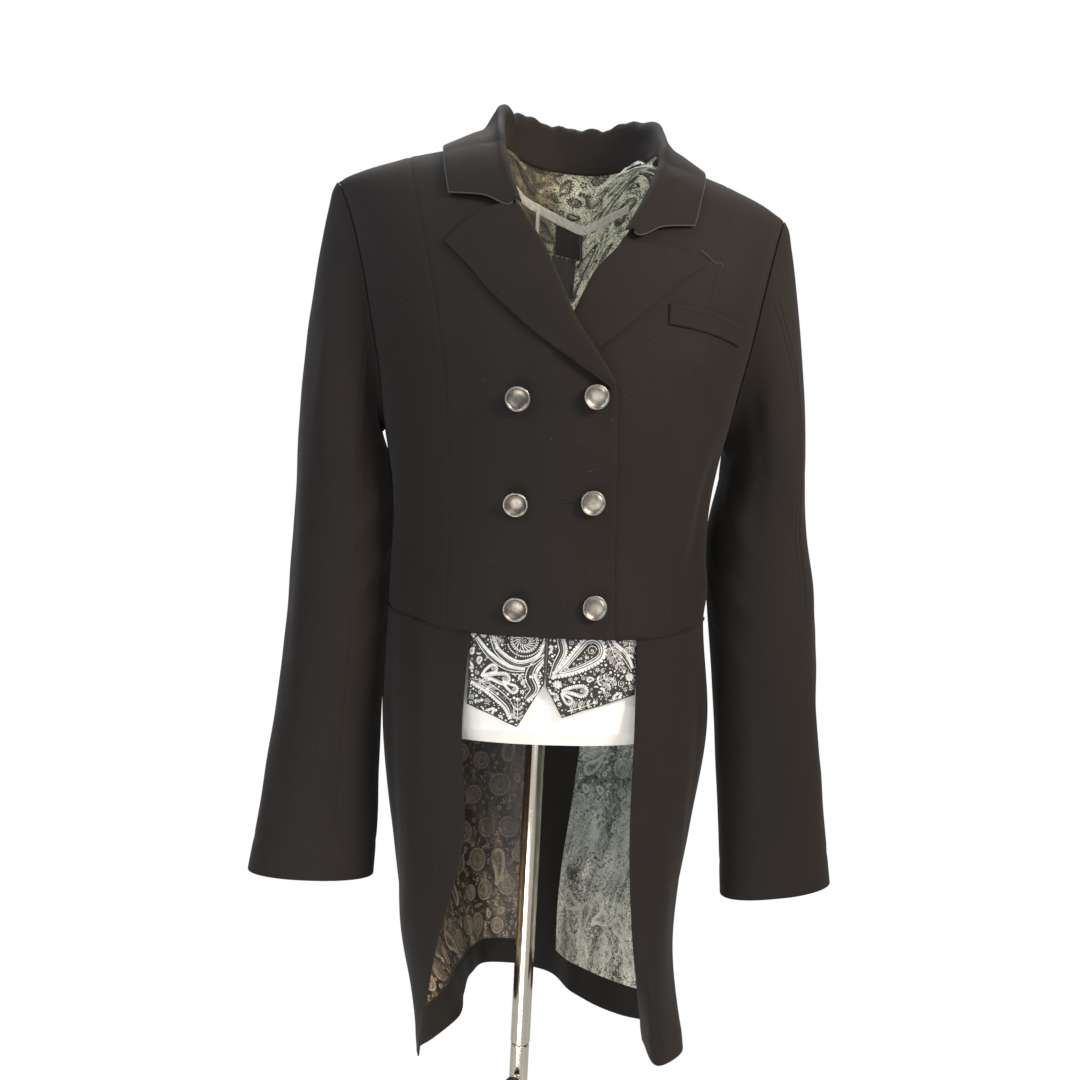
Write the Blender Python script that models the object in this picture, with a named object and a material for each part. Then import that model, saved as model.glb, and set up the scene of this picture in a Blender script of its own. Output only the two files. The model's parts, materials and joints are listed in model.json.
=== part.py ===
"""Shadbelly riding tailcoat on a limbless dress form with an adjustable pole stand.

Frame: metres, +Z up, X to the coat's own left, -Y to the front. The origin is on the floor,
on the pole's axis, in the middle of the base's underside.

Every cloth piece is a wall worked out from named sizes and the short tables below: the body is a
stack of rounded rings that closes over the shoulders, a panel is a patch of it between two edge
curves, and whatever lies on a panel is made from the panel's own surface, moved out or in.
"""
import math

import bpy
import bmesh
import numpy as np
from mathutils import Matrix, Vector

for old in list(bpy.data.objects):
    bpy.data.objects.remove(old, do_unlink=True)

# ------------------------------------------------------------------ driving sizes (metres)
CLOTH = 0.0015          # cloth wall: wool gabardine with its fusing
LINING = 0.0010         # jacquard lining wall
SEAM = 0.0006           # gap between neighbouring pieces
LAYER = 0.0008          # gap between a panel and what lies on it
CX = 0.003              # the coat hangs this far to its left of the pole
Z_CHEST = 1.200         # above this height the body closes towards the shoulder line
S_CHEST = 0.60          # its share of a panel's height
RING_POWER = 2.3        # plan roundness of the body
DOME_POWER = 2.5        # side-view roundness from chest to shoulder

BUTTON_R = 0.0108
POLE_R = 0.00925        # upper pole
POLE_INNER_R = 0.0075   # its reduced lower length, inside the lower tube
TUBE_R, TUBE_BORE = 0.00875, 0.0079
JOINT_Z = 0.5345        # foot of the upper pole at the lowest stop
INNER_END = 0.235
FORM_BOTTOM = 0.837
BASE_R = 0.165
CLAMP_Z = 0.4985
CLAMP_DIR = Vector((-0.34, -0.94, 0)).normalized()

# body of the coat: height, half width, depth in front, depth behind
BODY = np.array([
    (0.920, 0.1490, 0.1150, 0.1170),
    (0.951, 0.1485, 0.1140, 0.1140),
    (1.000, 0.1475, 0.1140, 0.1060),
    (1.050, 0.1485, 0.1170, 0.1040),
    (1.100, 0.1560, 0.1220, 0.1080),
    (1.150, 0.1680, 0.1240, 0.1130),
    (1.200, 0.1820, 0.1210, 0.1150),
    (1.250, 0.1920, 0.1170, 0.1130),
    (1.300, 0.2020, 0.1120, 0.1080),
    (1.345, 0.2130, 0.1100, 0.1000),
    (1.420, 0.2130, 0.1100, 0.1000)])
# shoulder line: distance from the middle, height
SHOULDER = np.array([(0.000, 1.3895), (0.070, 1.3770), (0.110, 1.3655), (0.150, 1.3540),
                     (0.190, 1.3400), (0.213, 1.3285), (0.225, 1.3200)])
TILT = 0.017            # the right shoulder sits higher by this slope
# the dress form inside it: same columns as BODY
FORM = np.array([
    (0.837, 0.1180, 0.0930, 0.0930),
    (0.848, 0.1290, 0.1005, 0.1010),
    (0.900, 0.1340, 0.1030, 0.1040),
    (0.950, 0.1330, 0.1010, 0.1000),
    (1.000, 0.1310, 0.1010, 0.0930),
    (1.050, 0.1330, 0.1040, 0.0910),
    (1.100, 0.1400, 0.1080, 0.0950),
    (1.150, 0.1480, 0.1100, 0.1000),
    (1.200, 0.1560, 0.1070, 0.1010),
    (1.250, 0.1640, 0.1020, 0.0980),
    (1.300, 0.1720, 0.0970, 0.0930),
    (1.345, 0.1800, 0.0940, 0.0850)])
FORM_DROP = 0.012       # its shoulder line below the coat's
SCOOP = dict(z=1.400, half_w=0.105, half_h=0.210)   # its neck cut-out

# front edge and lapel roll of each front, from the hem up: x, z
EDGE_R = [(0.0520, 0.9340), (0.0490, 1.0000), (0.0465, 1.0600), (0.0435, 1.1200), (0.0400, 1.1500),
          (0.0200, 1.1790), (-0.0005, 1.2090), (-0.0090, 1.2280), (-0.0225, 1.2585),
          (-0.0360, 1.2815), (-0.0500, 1.3050), (-0.0580, 1.3340), (-0.0620, 1.3580), (-0.0640, 1.3830)]
EDGE_L = [(-0.0500, 0.9345), (-0.0500, 1.0000), (-0.0500, 1.0600), (-0.0480, 1.1100), (-0.0300, 1.1600),
          (-0.0120, 1.1880), (0.0030, 1.2110), (0.0110, 1.2290), (0.0210, 1.2490), (0.0380, 1.2720),
          (0.0490, 1.2890), (0.0610, 1.3150), (0.0720, 1.3370), (0.0790, 1.3560), (0.0830, 1.3760)]
# princess seam from mid shoulder to the waist: distance from the middle, z
PRINCESS = [(0.0960, 0.9400), (0.0970, 1.0000), (0.0990, 1.0600), (0.1040, 1.1200), (0.1100, 1.1700),
            (0.1190, 1.2200), (0.1290, 1.2650), (0.1380, 1.3050), (0.1440, 1.3330), (0.1470, 1.3620)]
TAIL_FRONT_X = (0.0755, 0.0710)   # the right and left tails' front edges at the waist, from the middle
# lapels, from the break up to the gorge: roll x, z, middle x, z, outer edge x, z
LAPEL_R = [(0.0385, 1.1520, 0.0372, 1.1500, 0.0355, 1.1478),
           (0.0200, 1.1790, 0.0120, 1.1730, 0.0060, 1.1662),
           (-0.0005, 1.2090, -0.0190, 1.1990, -0.0300, 1.1905),
           (-0.0225, 1.2585, -0.0500, 1.2380, -0.0690, 1.2240),
           (-0.0360, 1.2815, -0.0640, 1.2640, -0.0880, 1.2455),
           (-0.0480, 1.3015, -0.0790, 1.2960, -0.1100, 1.2675)]
LAPEL_L = [(-0.0120, 1.1880, 0.0010, 1.1790, 0.0120, 1.1710),
           (0.0030, 1.2110, 0.0230, 1.2000, 0.0400, 1.1950),
           (0.0110, 1.2290, 0.0400, 1.2180, 0.0680, 1.2215),
           (0.0210, 1.2490, 0.0560, 1.2390, 0.0930, 1.2440),
           (0.0380, 1.2700, 0.0800, 1.2760, 0.1210, 1.2650)]
# collar round the neck, right gorge to left gorge: seat x y z, fold x y z, outer edge x y z
COLLAR = [(-0.0470, -0.0985, 1.3045, -0.0490, -0.1035, 1.3070, -0.1105, -0.0935, 1.3150),
          (-0.0545, -0.0800, 1.3270, -0.0575, -0.0845, 1.3320, -0.1150, -0.0845, 1.3370),
          (-0.0595, -0.0500, 1.3560, -0.0620, -0.0530, 1.3760, -0.1170, -0.0560, 1.3660),
          (-0.0610, -0.0200, 1.3770, -0.0610, -0.0180, 1.3975, -0.1165, -0.0220, 1.3835),
          (-0.0580, 0.0120, 1.3820, -0.0590, 0.0120, 1.4170, -0.1110, 0.0200, 1.3850),
          (-0.0420, 0.0400, 1.3790, -0.0440, 0.0430, 1.4225, -0.0870, 0.0620, 1.3740),
          (-0.0150, 0.0560, 1.3755, -0.0160, 0.0600, 1.4180, -0.0420, 0.0880, 1.3640),
          (0.0120, 0.0600, 1.3745, 0.0120, 0.0650, 1.4160, 0.0110, 0.0950, 1.3610),
          (0.0390, 0.0560, 1.3755, 0.0400, 0.0600, 1.4165, 0.0640, 0.0880, 1.3640),
          (0.0660, 0.0400, 1.3790, 0.0690, 0.0430, 1.4200, 0.1060, 0.0620, 1.3730),
          (0.0810, 0.0120, 1.3820, 0.0840, 0.0120, 1.4130, 0.1260, 0.0200, 1.3815),
          (0.0830, -0.0200, 1.3770, 0.0850, -0.0180, 1.3935, 0.1290, -0.0230, 1.3790),
          (0.0790, -0.0500, 1.3540, 0.0820, -0.0530, 1.3710, 0.1260, -0.0600, 1.3570),
          (0.0660, -0.0800, 1.3240, 0.0690, -0.0850, 1.3290, 0.1190, -0.0870, 1.3310),
          (0.0440, -0.1010, 1.2840, 0.0470, -0.1065, 1.2860, 0.1100, -0.1010, 1.3000)]
# sleeves, top to cuff: z, outer x, inner x, middle y, half depth in y, rise of the outer side
SLEEVE_R = [(1.0850, -0.2345, -0.1575, 0.0060, 0.0640, 0.004),
            (1.0300, -0.2350, -0.1495, 0.0040, 0.0610, 0.000),
            (0.9800, -0.2360, -0.1475, -0.0010, 0.0570, 0.000),
            (0.9200, -0.2375, -0.1478, -0.0060, 0.0530, 0.000),
            (0.8600, -0.2415, -0.1480, -0.0110, 0.0490, 0.000),
            (0.8000, -0.2480, -0.1455, -0.0160, 0.0440, 0.000),
            (0.7500, -0.2535, -0.1445, -0.0200, 0.0390, 0.001),
            (0.7020, -0.2600, -0.1460, -0.0240, 0.0340, 0.001)]
SLEEVE_L = [(1.0850, 0.2430, 0.1680, 0.0060, 0.0640, 0.004),
            (1.0300, 0.2485, 0.1610, 0.0040, 0.0610, 0.001),
            (0.9800, 0.2570, 0.1620, -0.0010, 0.0570, 0.002),
            (0.9200, 0.2590, 0.1665, -0.0060, 0.0530, 0.003),
            (0.8600, 0.2640, 0.1695, -0.0110, 0.0490, 0.004),
            (0.8000, 0.2720, 0.1740, -0.0160, 0.0440, 0.006),
            (0.7500, 0.2778, 0.1780, -0.0200, 0.0390, 0.007),
            (0.6950, 0.2850, 0.1810, -0.0240, 0.0340, 0.008)]
UNDERARM_Z = 1.108
ARMHOLE_FRONT, ARMHOLE_BACK = 0.40, 0.46     # how far the armhole is cut into front and back
# tails: height, then the plan of the cloth from its front edge round to the centre back
TAIL_R = [(0.860, (-0.0755, -0.1050), (-0.1100, -0.0890), (-0.1380, -0.0460), (-0.1443, 0.0080), (-0.1260, 0.0640), (-0.0750, 0.1080), (-0.0340, 0.1195), (0.0180, 0.1185)),
          (0.750, (-0.0695, -0.1030), (-0.1010, -0.0850), (-0.1250, -0.0470), (-0.1315, 0.0080), (-0.1150, 0.0660), (-0.0660, 0.1140), (-0.0320, 0.1300), (0.0180, 0.1300)),
          (0.650, (-0.0890, -0.0950), (-0.1090, -0.0720), (-0.1180, -0.0340), (-0.1080, 0.0120), (-0.0860, 0.0660), (-0.0520, 0.1180), (-0.0300, 0.1370), (0.0180, 0.1370)),
          (0.555, (-0.0995, -0.0780), (-0.0990, -0.0560), (-0.0860, -0.0310), (-0.0610, 0.0020), (-0.0530, 0.0600), (-0.0430, 0.1150), (-0.0290, 0.1440), (0.0180, 0.1440))]
TAIL_L = [(0.860, (0.0755, -0.1045), (0.1130, -0.0900), (0.1470, -0.0520), (0.1600, 0.0040), (0.1380, 0.0620), (0.0850, 0.1090), (0.0400, 0.1215), (-0.0030, 0.1250)),
          (0.750, (0.0775, -0.1020), (0.1080, -0.0910), (0.1360, -0.0560), (0.1485, 0.0000), (0.1250, 0.0590), (0.0740, 0.1110), (0.0380, 0.1320), (-0.0030, 0.1380)),
          (0.650, (0.0880, -0.0890), (0.1030, -0.0920), (0.1270, -0.0620), (0.1330, -0.0050), (0.1080, 0.0430), (0.0640, 0.0990), (0.0380, 0.1350), (-0.0030, 0.1480)),
          (0.555, (0.1080, -0.0450), (0.1150, -0.0850), (0.1440, -0.0590), (0.1400, -0.0060), (0.0990, 0.0210), (0.0600, 0.0790), (0.0400, 0.1360), (-0.0030, 0.1570))]
# hem heights along the same columns
HEM_R = (0.5535, 0.5510, 0.5490, 0.5560, 0.5570, 0.5580, 0.5580, 0.5580)
HEM_L = (0.5560, 0.5490, 0.5500, 0.5530, 0.5530, 0.5520, 0.5530, 0.5560)
HEM_BAND = 0.024        # depth of the turned-up cloth inside the hems
VENT_BAND = 0.072       # width of the turned-in cloth at the left tail's vent
# vest points under the fronts: x, lower edge z
VEST_R = [(-0.0735, 0.8720), (-0.0620, 0.8675), (-0.0500, 0.8635), (-0.0390, 0.8585), (-0.0285, 0.8545),
          (-0.0230, 0.8640), (-0.0150, 0.8790), (-0.0065, 0.8925)]
VEST_L = [(-0.0050, 0.8905), (0.0020, 0.8790), (0.0105, 0.8640), (0.0180, 0.8665), (0.0280, 0.8705),
          (0.0440, 0.8750), (0.0600, 0.8800), (0.0765, 0.8850)]
VEST_TOP = 0.960
# hanger ribbon inside the neck: x, z, how far in from the coat's outer face
RIBBON = [(-0.0440, 1.3520, 0.0080), (-0.0330, 1.3480, 0.0086), (-0.0130, 1.3410, 0.0098), (0.0100, 1.3330, 0.0112),
          (0.0300, 1.3270, 0.0118), (0.0430, 1.3320, 0.0112), (0.0560, 1.3390, 0.0098), (0.0670, 1.3440, 0.0086), (0.0740, 1.3475, 0.0080)]
# bare labels on the lining: name, slot, corners x, z, how far in
LABELS = [("main_label", "label_black", [(0.0035, 1.3290), (0.0300, 1.3220), (0.0335, 1.2960), (0.0050, 1.3010)], 0.0064),
          ("care_label", "label_grey", [(0.0020, 1.3000), (0.0270, 1.2960), (0.0260, 1.2580), (0.0040, 1.2600)], 0.0046)]
# buttons on the fronts: name, x, z, droop in degrees
BUTTONS = [("button_1_right", -0.0420, 1.1360, 14), ("button_1_left", 0.0230, 1.1403, 3),
           ("button_2_right", -0.0388, 1.0476, 16), ("button_2_left", 0.0258, 1.0513, 2),
           ("button_3_right", -0.0345, 0.9577, 15), ("button_3_left", 0.0323, 0.9611, 3)]
# chest pocket welt on the left front: x, upper z, lower z
WELT = [(0.0850, 1.2262, 1.2076), (0.0980, 1.2254, 1.2066), (0.1110, 1.2244, 1.2054), (0.1240, 1.2226, 1.2036),
        (0.1370, 1.2202, 1.2012), (0.1490, 1.2172, 1.1985), (0.1560, 1.2150, 1.1966)]


# ------------------------------------------------------------------ curves and the body surface
def sstep(a, b, x):
    t = np.clip((np.asarray(x, float) - a) / (b - a), 0.0, 1.0)
    return t * t * (3 - 2 * t)


def spline(ts, vs, t):
    """Catmull-Rom curve through the rows of vs at the stations ts."""
    ts, vs = np.asarray(ts, float), np.asarray(vs, float)
    one = vs.ndim == 1
    if one:
        vs = vs[:, None]
    t = np.asarray(t, float)
    shape = t.shape
    t = t.ravel()
    i = np.clip(np.searchsorted(ts, t, side="right") - 1, 0, len(ts) - 2)
    h = np.diff(ts)
    d = np.diff(vs, axis=0) / h[:, None]
    m = np.empty_like(vs)
    m[0], m[-1] = d[0], d[-1]
    if len(ts) > 2:
        w = (h[1:] / (h[:-1] + h[1:]))[:, None]
        m[1:-1] = d[:-1] * w + d[1:] * (1 - w)
    hh = h[i][:, None]
    u = np.clip((t - ts[i]) / h[i], 0, 1)[:, None]
    r = ((2 * u**3 - 3 * u**2 + 1) * vs[i] + (u**3 - 2 * u**2 + u) * hh * m[i]
         + (-2 * u**3 + 3 * u**2) * vs[i + 1] + (u**3 - u**2) * hh * m[i + 1])
    r = r.reshape(shape + (vs.shape[1],))
    return r[..., 0] if one else r


def quarter(power, aspect, n=400):
    """A quarter of a superellipse by even arc length: share, sine part, cosine part."""
    a = np.linspace(0, np.pi / 2, n)
    s, c = np.sin(a) ** (2 / power), np.cos(a) ** (2 / power)
    s[-1], c[-1] = 1.0, 0.0
    length = np.r_[0, np.cumsum(np.hypot(np.diff(s) * aspect, np.diff(c)))]
    return length / length[-1], s, c


RING = quarter(RING_POWER, 1.3)
DOME = quarter(DOME_POWER, 1.4)


def wrap(psi):
    return (np.asarray(psi, float) + 2.0) % 4.0 - 2.0


def waist_z(psi):
    p = np.abs(wrap(psi))
    return 0.9335 + 0.0175 * sstep(0.25, 1.05, p) + 0.006 * sstep(1.0, 2.0, p)


def ring_parts(psi):
    """psi: 0 centre front, +1 the coat's left side, -1 its right side, 2 centre back."""
    psi = wrap(psi)
    p = np.abs(psi)
    q = np.where(p <= 1, p, 2 - p)
    s, c = np.interp(q, RING[0], RING[1]), np.interp(q, RING[0], RING[2])
    return np.sign(psi) * s, np.where(p <= 1, c, -c)


def ridge_z(x):
    return spline(SHOULDER[:, 0], SHOULDER[:, 1], np.abs(x - CX)) - TILT * (x - CX)


def shell(psi, s, rows=BODY, drop=0.0, foot=waist_z):
    """A point of the body: psi round it, s from 0 at the waist to 1 on the shoulder line."""
    psi, s = np.broadcast_arrays(np.asarray(psi, float), np.asarray(s, float))
    u, c = ring_parts(psi)
    zw = foot(psi)
    low = s <= S_CHEST
    z = zw + (Z_CHEST - zw) * np.clip(s / S_CHEST, None, 1)
    tau = np.clip((s - S_CHEST) / (1 - S_CHEST), 0, 1)
    t, g = np.interp(tau, DOME[0], DOME[1]), np.interp(tau, DOME[0], DOME[2])
    zt = z
    for _ in range(4):
        x = CX + u * spline(rows[:, 0], rows[:, 1], zt)
        top = ridge_z(x) - drop
        zt = np.where(low, z, Z_CHEST + (top - Z_CHEST) * t)
    x = CX + u * spline(rows[:, 0], rows[:, 1], zt)
    g = np.where(low, 1.0, g)
    depth = np.where(c > 0, spline(rows[:, 0], rows[:, 2], zt), spline(rows[:, 0], rows[:, 3], zt))
    return np.stack([x, -depth * c * g, zt], -1)


def body(psi, s, d=0.0):
    """The coat's outer surface, moved out by d."""
    e = 2e-3
    psi, s = np.broadcast_arrays(np.asarray(psi, float), np.asarray(s, float))
    a = shell(psi + e, s) - shell(psi - e, s)
    b = shell(psi, np.clip(s + e, 0, 1)) - shell(psi, np.clip(s - e, 0, 1))
    n = np.cross(a, b)
    n /= np.maximum(np.linalg.norm(n, axis=-1, keepdims=True), 1e-12)
    return shell(psi, s) + n * np.asarray(d, float)[..., None]


def front_y(x, z):
    u = np.clip(np.abs((x - CX) / spline(BODY[:, 0], BODY[:, 1], z)), 0, 1)
    c = (1 - u ** RING_POWER) ** (1 / RING_POWER)
    top = ridge_z(x)
    t = np.clip((z - Z_CHEST) / (top - Z_CHEST), 0, 1)
    return -spline(BODY[:, 0], BODY[:, 2], z) * c * (1 - t ** DOME_POWER) ** (1 / DOME_POWER)


def front(x, z, d=0.0):
    """The front by x and z, moved out by d."""
    e = 1e-3
    x, z = np.broadcast_arrays(np.asarray(x, float), np.asarray(z, float))
    gx = (front_y(x + e, z) - front_y(x - e, z)) / (2 * e)
    gz = (front_y(x, z + e) - front_y(x, z - e)) / (2 * e)
    n = np.stack([gx, -np.ones_like(gx), gz], -1)
    n /= np.linalg.norm(n, axis=-1, keepdims=True)
    return np.stack([x, front_y(x, z), z], -1) + n * np.asarray(d, float)[..., None]


def psi_s(x, z):
    """Where a front point lies: psi and s."""
    x, z = np.asarray(x, float), np.asarray(z, float)
    u = np.clip((x - CX) / spline(BODY[:, 0], BODY[:, 1], z), -1, 1)
    p = np.sign(u) * np.interp(np.abs(u), RING[1], RING[0])
    zw = waist_z(p)
    top = ridge_z(x)
    tau = np.interp(np.clip((z - Z_CHEST) / (top - Z_CHEST), 0, 1), DOME[1], DOME[0])
    return p, np.where(z <= Z_CHEST, (z - zw) / (Z_CHEST - zw) * S_CHEST, S_CHEST + tau * (1 - S_CHEST))


def edge_psi(table, s):
    """psi of an edge curve, given as x, z rows, at the heights s."""
    rows = np.array(table, float)
    p, q = psi_s(rows[:, 0], rows[:, 1])
    q[0], q[-1] = min(q[0], 0.0), max(q[-1], 1.0)
    return spline(q, p, s)


def princess_psi(side, s):
    return edge_psi([(CX + side * x, z) for x, z in PRINCESS], s)


S_UNDERARM = float((UNDERARM_Z - 0.951) / (Z_CHEST - 0.951) * S_CHEST)


def armhole_psi(side, s, back=False):
    """The armhole: side seam up to the underarm, then scooped to the shoulder tip."""
    q = np.clip((np.asarray(s, float) - S_UNDERARM) / (1 - S_UNDERARM), 0, 1)
    c = (ARMHOLE_BACK if back else ARMHOLE_FRONT) * np.sin(np.pi * q ** 0.72) ** 0.75
    q0 = 1 - np.interp(c, RING[2][::-1], 1 - RING[0][::-1])
    return side * (2 - q0 if back else q0)


# ------------------------------------------------------------------ meshes
def grid_normals(p, u=None, v=None):
    """Normals of a grid of points; u and v give the spacing of its rows and columns."""
    a = np.gradient(p, axis=1) if v is None else np.gradient(p, v, axis=1)
    b = np.gradient(p, axis=0) if u is None else np.gradient(p, u, axis=0)
    n = np.cross(a, b)
    return n / np.maximum(np.linalg.norm(n, axis=-1, keepdims=True), 1e-12)


def wall_arrays(outer, inner):
    """A closed wall between two grids of points: triangles with matching diagonals."""
    ni, nj = outer.shape[:2]
    verts = np.concatenate([outer.reshape(-1, 3), inner.reshape(-1, 3)])
    k = ni * nj
    tris = []
    for i in range(ni - 1):
        for j in range(nj - 1):
            a, b, c, d = i * nj + j, i * nj + j + 1, (i + 1) * nj + j + 1, (i + 1) * nj + j
            tris += [(a, b, c), (a, c, d), (k + a, k + c, k + b), (k + a, k + d, k + c)]
    rim = ([j for j in range(nj)] + [i * nj + nj - 1 for i in range(1, ni)]
           + [(ni - 1) * nj + j for j in range(nj - 2, -1, -1)] + [i * nj for i in range(ni - 2, 0, -1)])
    for a, b in zip(rim, rim[1:] + rim[:1]):
        tris += [(a, k + b, b), (a, k + a, k + b)]
    return verts, tris


MATERIALS = {}


def material(name, color, rough, metal=0.0):
    m = bpy.data.materials.new(name)
    m.use_nodes = True
    b = m.node_tree.nodes["Principled BSDF"]
    b.inputs["Base Color"].default_value = (*color, 1)
    b.inputs["Roughness"].default_value = rough
    b.inputs["Metallic"].default_value = metal
    MATERIALS[name] = m


material("wool", (0.022, 0.020, 0.020), 0.75)
material("jacquard", (0.20, 0.20, 0.18), 0.45)
material("vest_brocade", (0.25, 0.25, 0.22), 0.45)
material("pewter", (0.33, 0.31, 0.28), 0.35, 1.0)
material("ribbon", (0.45, 0.45, 0.43), 0.45)
material("label_black", (0.015, 0.015, 0.015), 0.6)
material("label_grey", (0.35, 0.35, 0.34), 0.5)
material("form_white", (0.82, 0.81, 0.79), 0.4)
material("chrome", (0.75, 0.73, 0.70), 0.08, 1.0)
material("base_steel", (0.55, 0.55, 0.55), 0.3, 1.0)


def add(name, verts, faces, mat, sharp=60):
    me = bpy.data.meshes.new(name)
    me.from_pydata([tuple(map(float, v)) for v in verts], [], [tuple(f) for f in faces])
    bm = bmesh.new()
    bm.from_mesh(me)
    if bm.calc_volume(signed=True) < 0:
        bmesh.ops.reverse_faces(bm, faces=bm.faces)
    bm.to_mesh(me)
    bm.free()
    me.validate()
    me.materials.append(MATERIALS[mat])
    me.shade_smooth()
    me.set_sharp_from_angle(angle=math.radians(sharp))
    ob = bpy.data.objects.new(name, me)
    bpy.context.scene.collection.objects.link(ob)
    return ob


def wall(name, outer, thick, mat, inner=None):
    """A wall of cloth whose outer face is the grid outer."""
    if inner is None:
        inner = outer - grid_normals(outer) * thick
        c = outer.reshape(-1, 3).mean(0)
    v, f = wall_arrays(outer, inner)
    return add(name, v, f, mat)


def lathe(name, profile, mat, segs=24, matrix=None, bore=False):
    """A turned piece from (radius, height) rows, outside first; a bore profile is a closed loop."""
    verts, faces, rings = [], [], []
    for r, h in profile:
        if r < 1e-9:
            rings.append([len(verts)])
            verts.append((0, 0, h))
        else:
            rings.append(list(range(len(verts), len(verts) + segs)))
            verts += [(r * math.cos(2 * math.pi * k / segs), r * math.sin(2 * math.pi * k / segs), h) for k in range(segs)]
    pairs = list(zip(rings, rings[1:])) + ([(rings[-1], rings[0])] if bore else [])
    for a, b in pairs:
        for k in range(segs):
            m = (k + 1) % segs
            if len(a) == 1 and len(b) == 1:
                continue
            if len(a) == 1:
                faces.append((a[0], b[m], b[k]))
            elif len(b) == 1:
                faces.append((a[k], a[m], b[0]))
            else:
                faces.append((a[k], a[m], b[m], b[k]))
    if matrix is not None:
        verts = [matrix @ Vector(v) for v in verts]
    return add(name, verts, faces, mat, sharp=35)


# ------------------------------------------------------------------ distance to the body
def body_gap(p):
    """Distance of points above the coat's body (chest and up), and the outward direction."""
    def level(q):
        x, y, z = q[..., 0], q[..., 1], q[..., 2]
        u = np.clip(np.abs((x - CX) / spline(BODY[:, 0], BODY[:, 1], z)), 0, 0.999)
        c = (1 - u ** RING_POWER) ** (1 / RING_POWER)
        deep = np.where(y < 0, spline(BODY[:, 0], BODY[:, 2], z), spline(BODY[:, 0], BODY[:, 3], z)) * c
        t = np.clip((z - Z_CHEST) / (ridge_z(x) - Z_CHEST), 0, None)
        return ((np.abs(y) / deep) ** DOME_POWER + t ** DOME_POWER) ** (1 / DOME_POWER)
    e = 1e-4
    g = np.stack([(level(p + d) - level(p - d)) / (2 * e) for d in np.eye(3) * e], -1)
    size = np.maximum(np.linalg.norm(g, axis=-1), 1e-9)
    return (level(p) - 1) / size, g / size[..., None]


def keep_off(p, low, high=None):
    """Move points along the body's normal until they stand between low and high above it."""
    for _ in range(4):
        d, n = body_gap(p)
        want = np.maximum(d, low)
        if high is not None:
            want = np.minimum(want, high)
        p = p + n * (want - d)[..., None]
    return p


# ------------------------------------------------------------------ body panels
def over_right(x, z):
    """How far the right front stands out, where it laps over the left front and its lapel."""
    lap = 0.0024 * sstep(-0.105, -0.050, x) + 0.0028 * sstep(-0.048, -0.018, x) * sstep(1.120, 1.160, z)
    return lap * (1 - sstep(1.225, 1.262, z))


SEAM_PSI = SEAM / 0.24
ROWS = np.r_[np.linspace(0.0, 0.54, 6), 0.61, 0.67, 0.73, 0.785, 0.835, 0.88, 0.92, 0.96, 1.0]


def half_clamp(p, sign):
    """Keep a front (sign -1) or a back (sign 1) on its own side of the shoulder and side seams."""
    p = p.copy()
    p[..., 1] = np.minimum(p[..., 1], -SEAM / 2) if sign < 0 else np.maximum(p[..., 1], SEAM / 2)
    return p


def lift_hem(p):
    p = p.copy()
    p[0, :, 2] += SEAM / 2
    return p


for side, tag in ((-1, "right"), (1, "left")):
    s = ROWS
    edge = edge_psi(EDGE_R if side < 0 else EDGE_L, s)
    prin = princess_psi(side, s)
    arm = armhole_psi(side, s)
    for part, nj, a, b in (("centre", 7, edge, prin - side * SEAM_PSI / 2), ("side", 5, prin + side * SEAM_PSI / 2, arm)):
        w = np.linspace(0, 1, nj)
        psi = a[:, None] * (1 - w) + b[:, None] * w
        ss = np.repeat(s[:, None], nj, 1)
        p0 = shell(psi, ss)
        d = over_right(p0[..., 0], p0[..., 2]) if side < 0 else 0.0 * psi
        outer = lift_hem(half_clamp(body(psi, ss, d), -1))
        inner = lift_hem(half_clamp(body(psi, ss, d - CLOTH), -1))
        wall("front_%s_%s" % (part, tag), outer, CLOTH, "wool", inner)


def back_grid(side, nj=9):
    """psi and s of a back panel: rows from the waist to the neckline and shoulder."""
    arm = armhole_psi(side, ROWS, back=True)
    w = np.linspace(0, 1, nj)
    psi = side * 2.0 * (1 - w)[None, :] + arm[:, None] * w[None, :]
    x_top = shell(psi[-1], np.ones(nj))[:, 0] - 0.010
    dip = 0.150 * (1 - sstep(0.022, 0.082, np.abs(x_top)))
    ss = ROWS[:, None] * (1 - dip)[None, :]
    return (psi[:, ::-1], ss[:, ::-1]) if side < 0 else (psi, ss)


def side_clamp(p, side):
    p = p.copy()
    p[..., 0] = np.maximum(p[..., 0], CX + SEAM / 2) if side > 0 else np.minimum(p[..., 0], CX - SEAM / 2)
    return p


for side, tag in ((-1, "right"), (1, "left")):
    psi, ss = back_grid(side)
    outer = side_clamp(lift_hem(half_clamp(body(psi, ss), 1)), side)
    inner = side_clamp(lift_hem(half_clamp(body(psi, ss, -CLOTH), 1)), side)
    wall("back_" + tag, outer, CLOTH, "wool", inner)

# lining of the upper back, on the panels' own rows and columns
(psi_r, s_r), (psi_l, s_l) = back_grid(-1), back_grid(1)
n_in, r0 = 5, 6
psi = np.concatenate([psi_r[:, -1 - n_in:-1], np.full((len(ROWS), 1), 2.0), psi_l[:, 1:n_in + 1]], 1)[r0:]
ss = np.concatenate([s_r[:, -1 - n_in:], s_l[:, 1:n_in + 1]], 1)[r0:]
d0 = CLOTH + LAYER
wall("neck_lining", half_clamp(body(psi, ss, -d0), 1), LINING, "jacquard", half_clamp(body(psi, ss, -d0 - LINING), 1))


# ------------------------------------------------------------------ tails
WAIST_GAP = 0.0012


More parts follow.
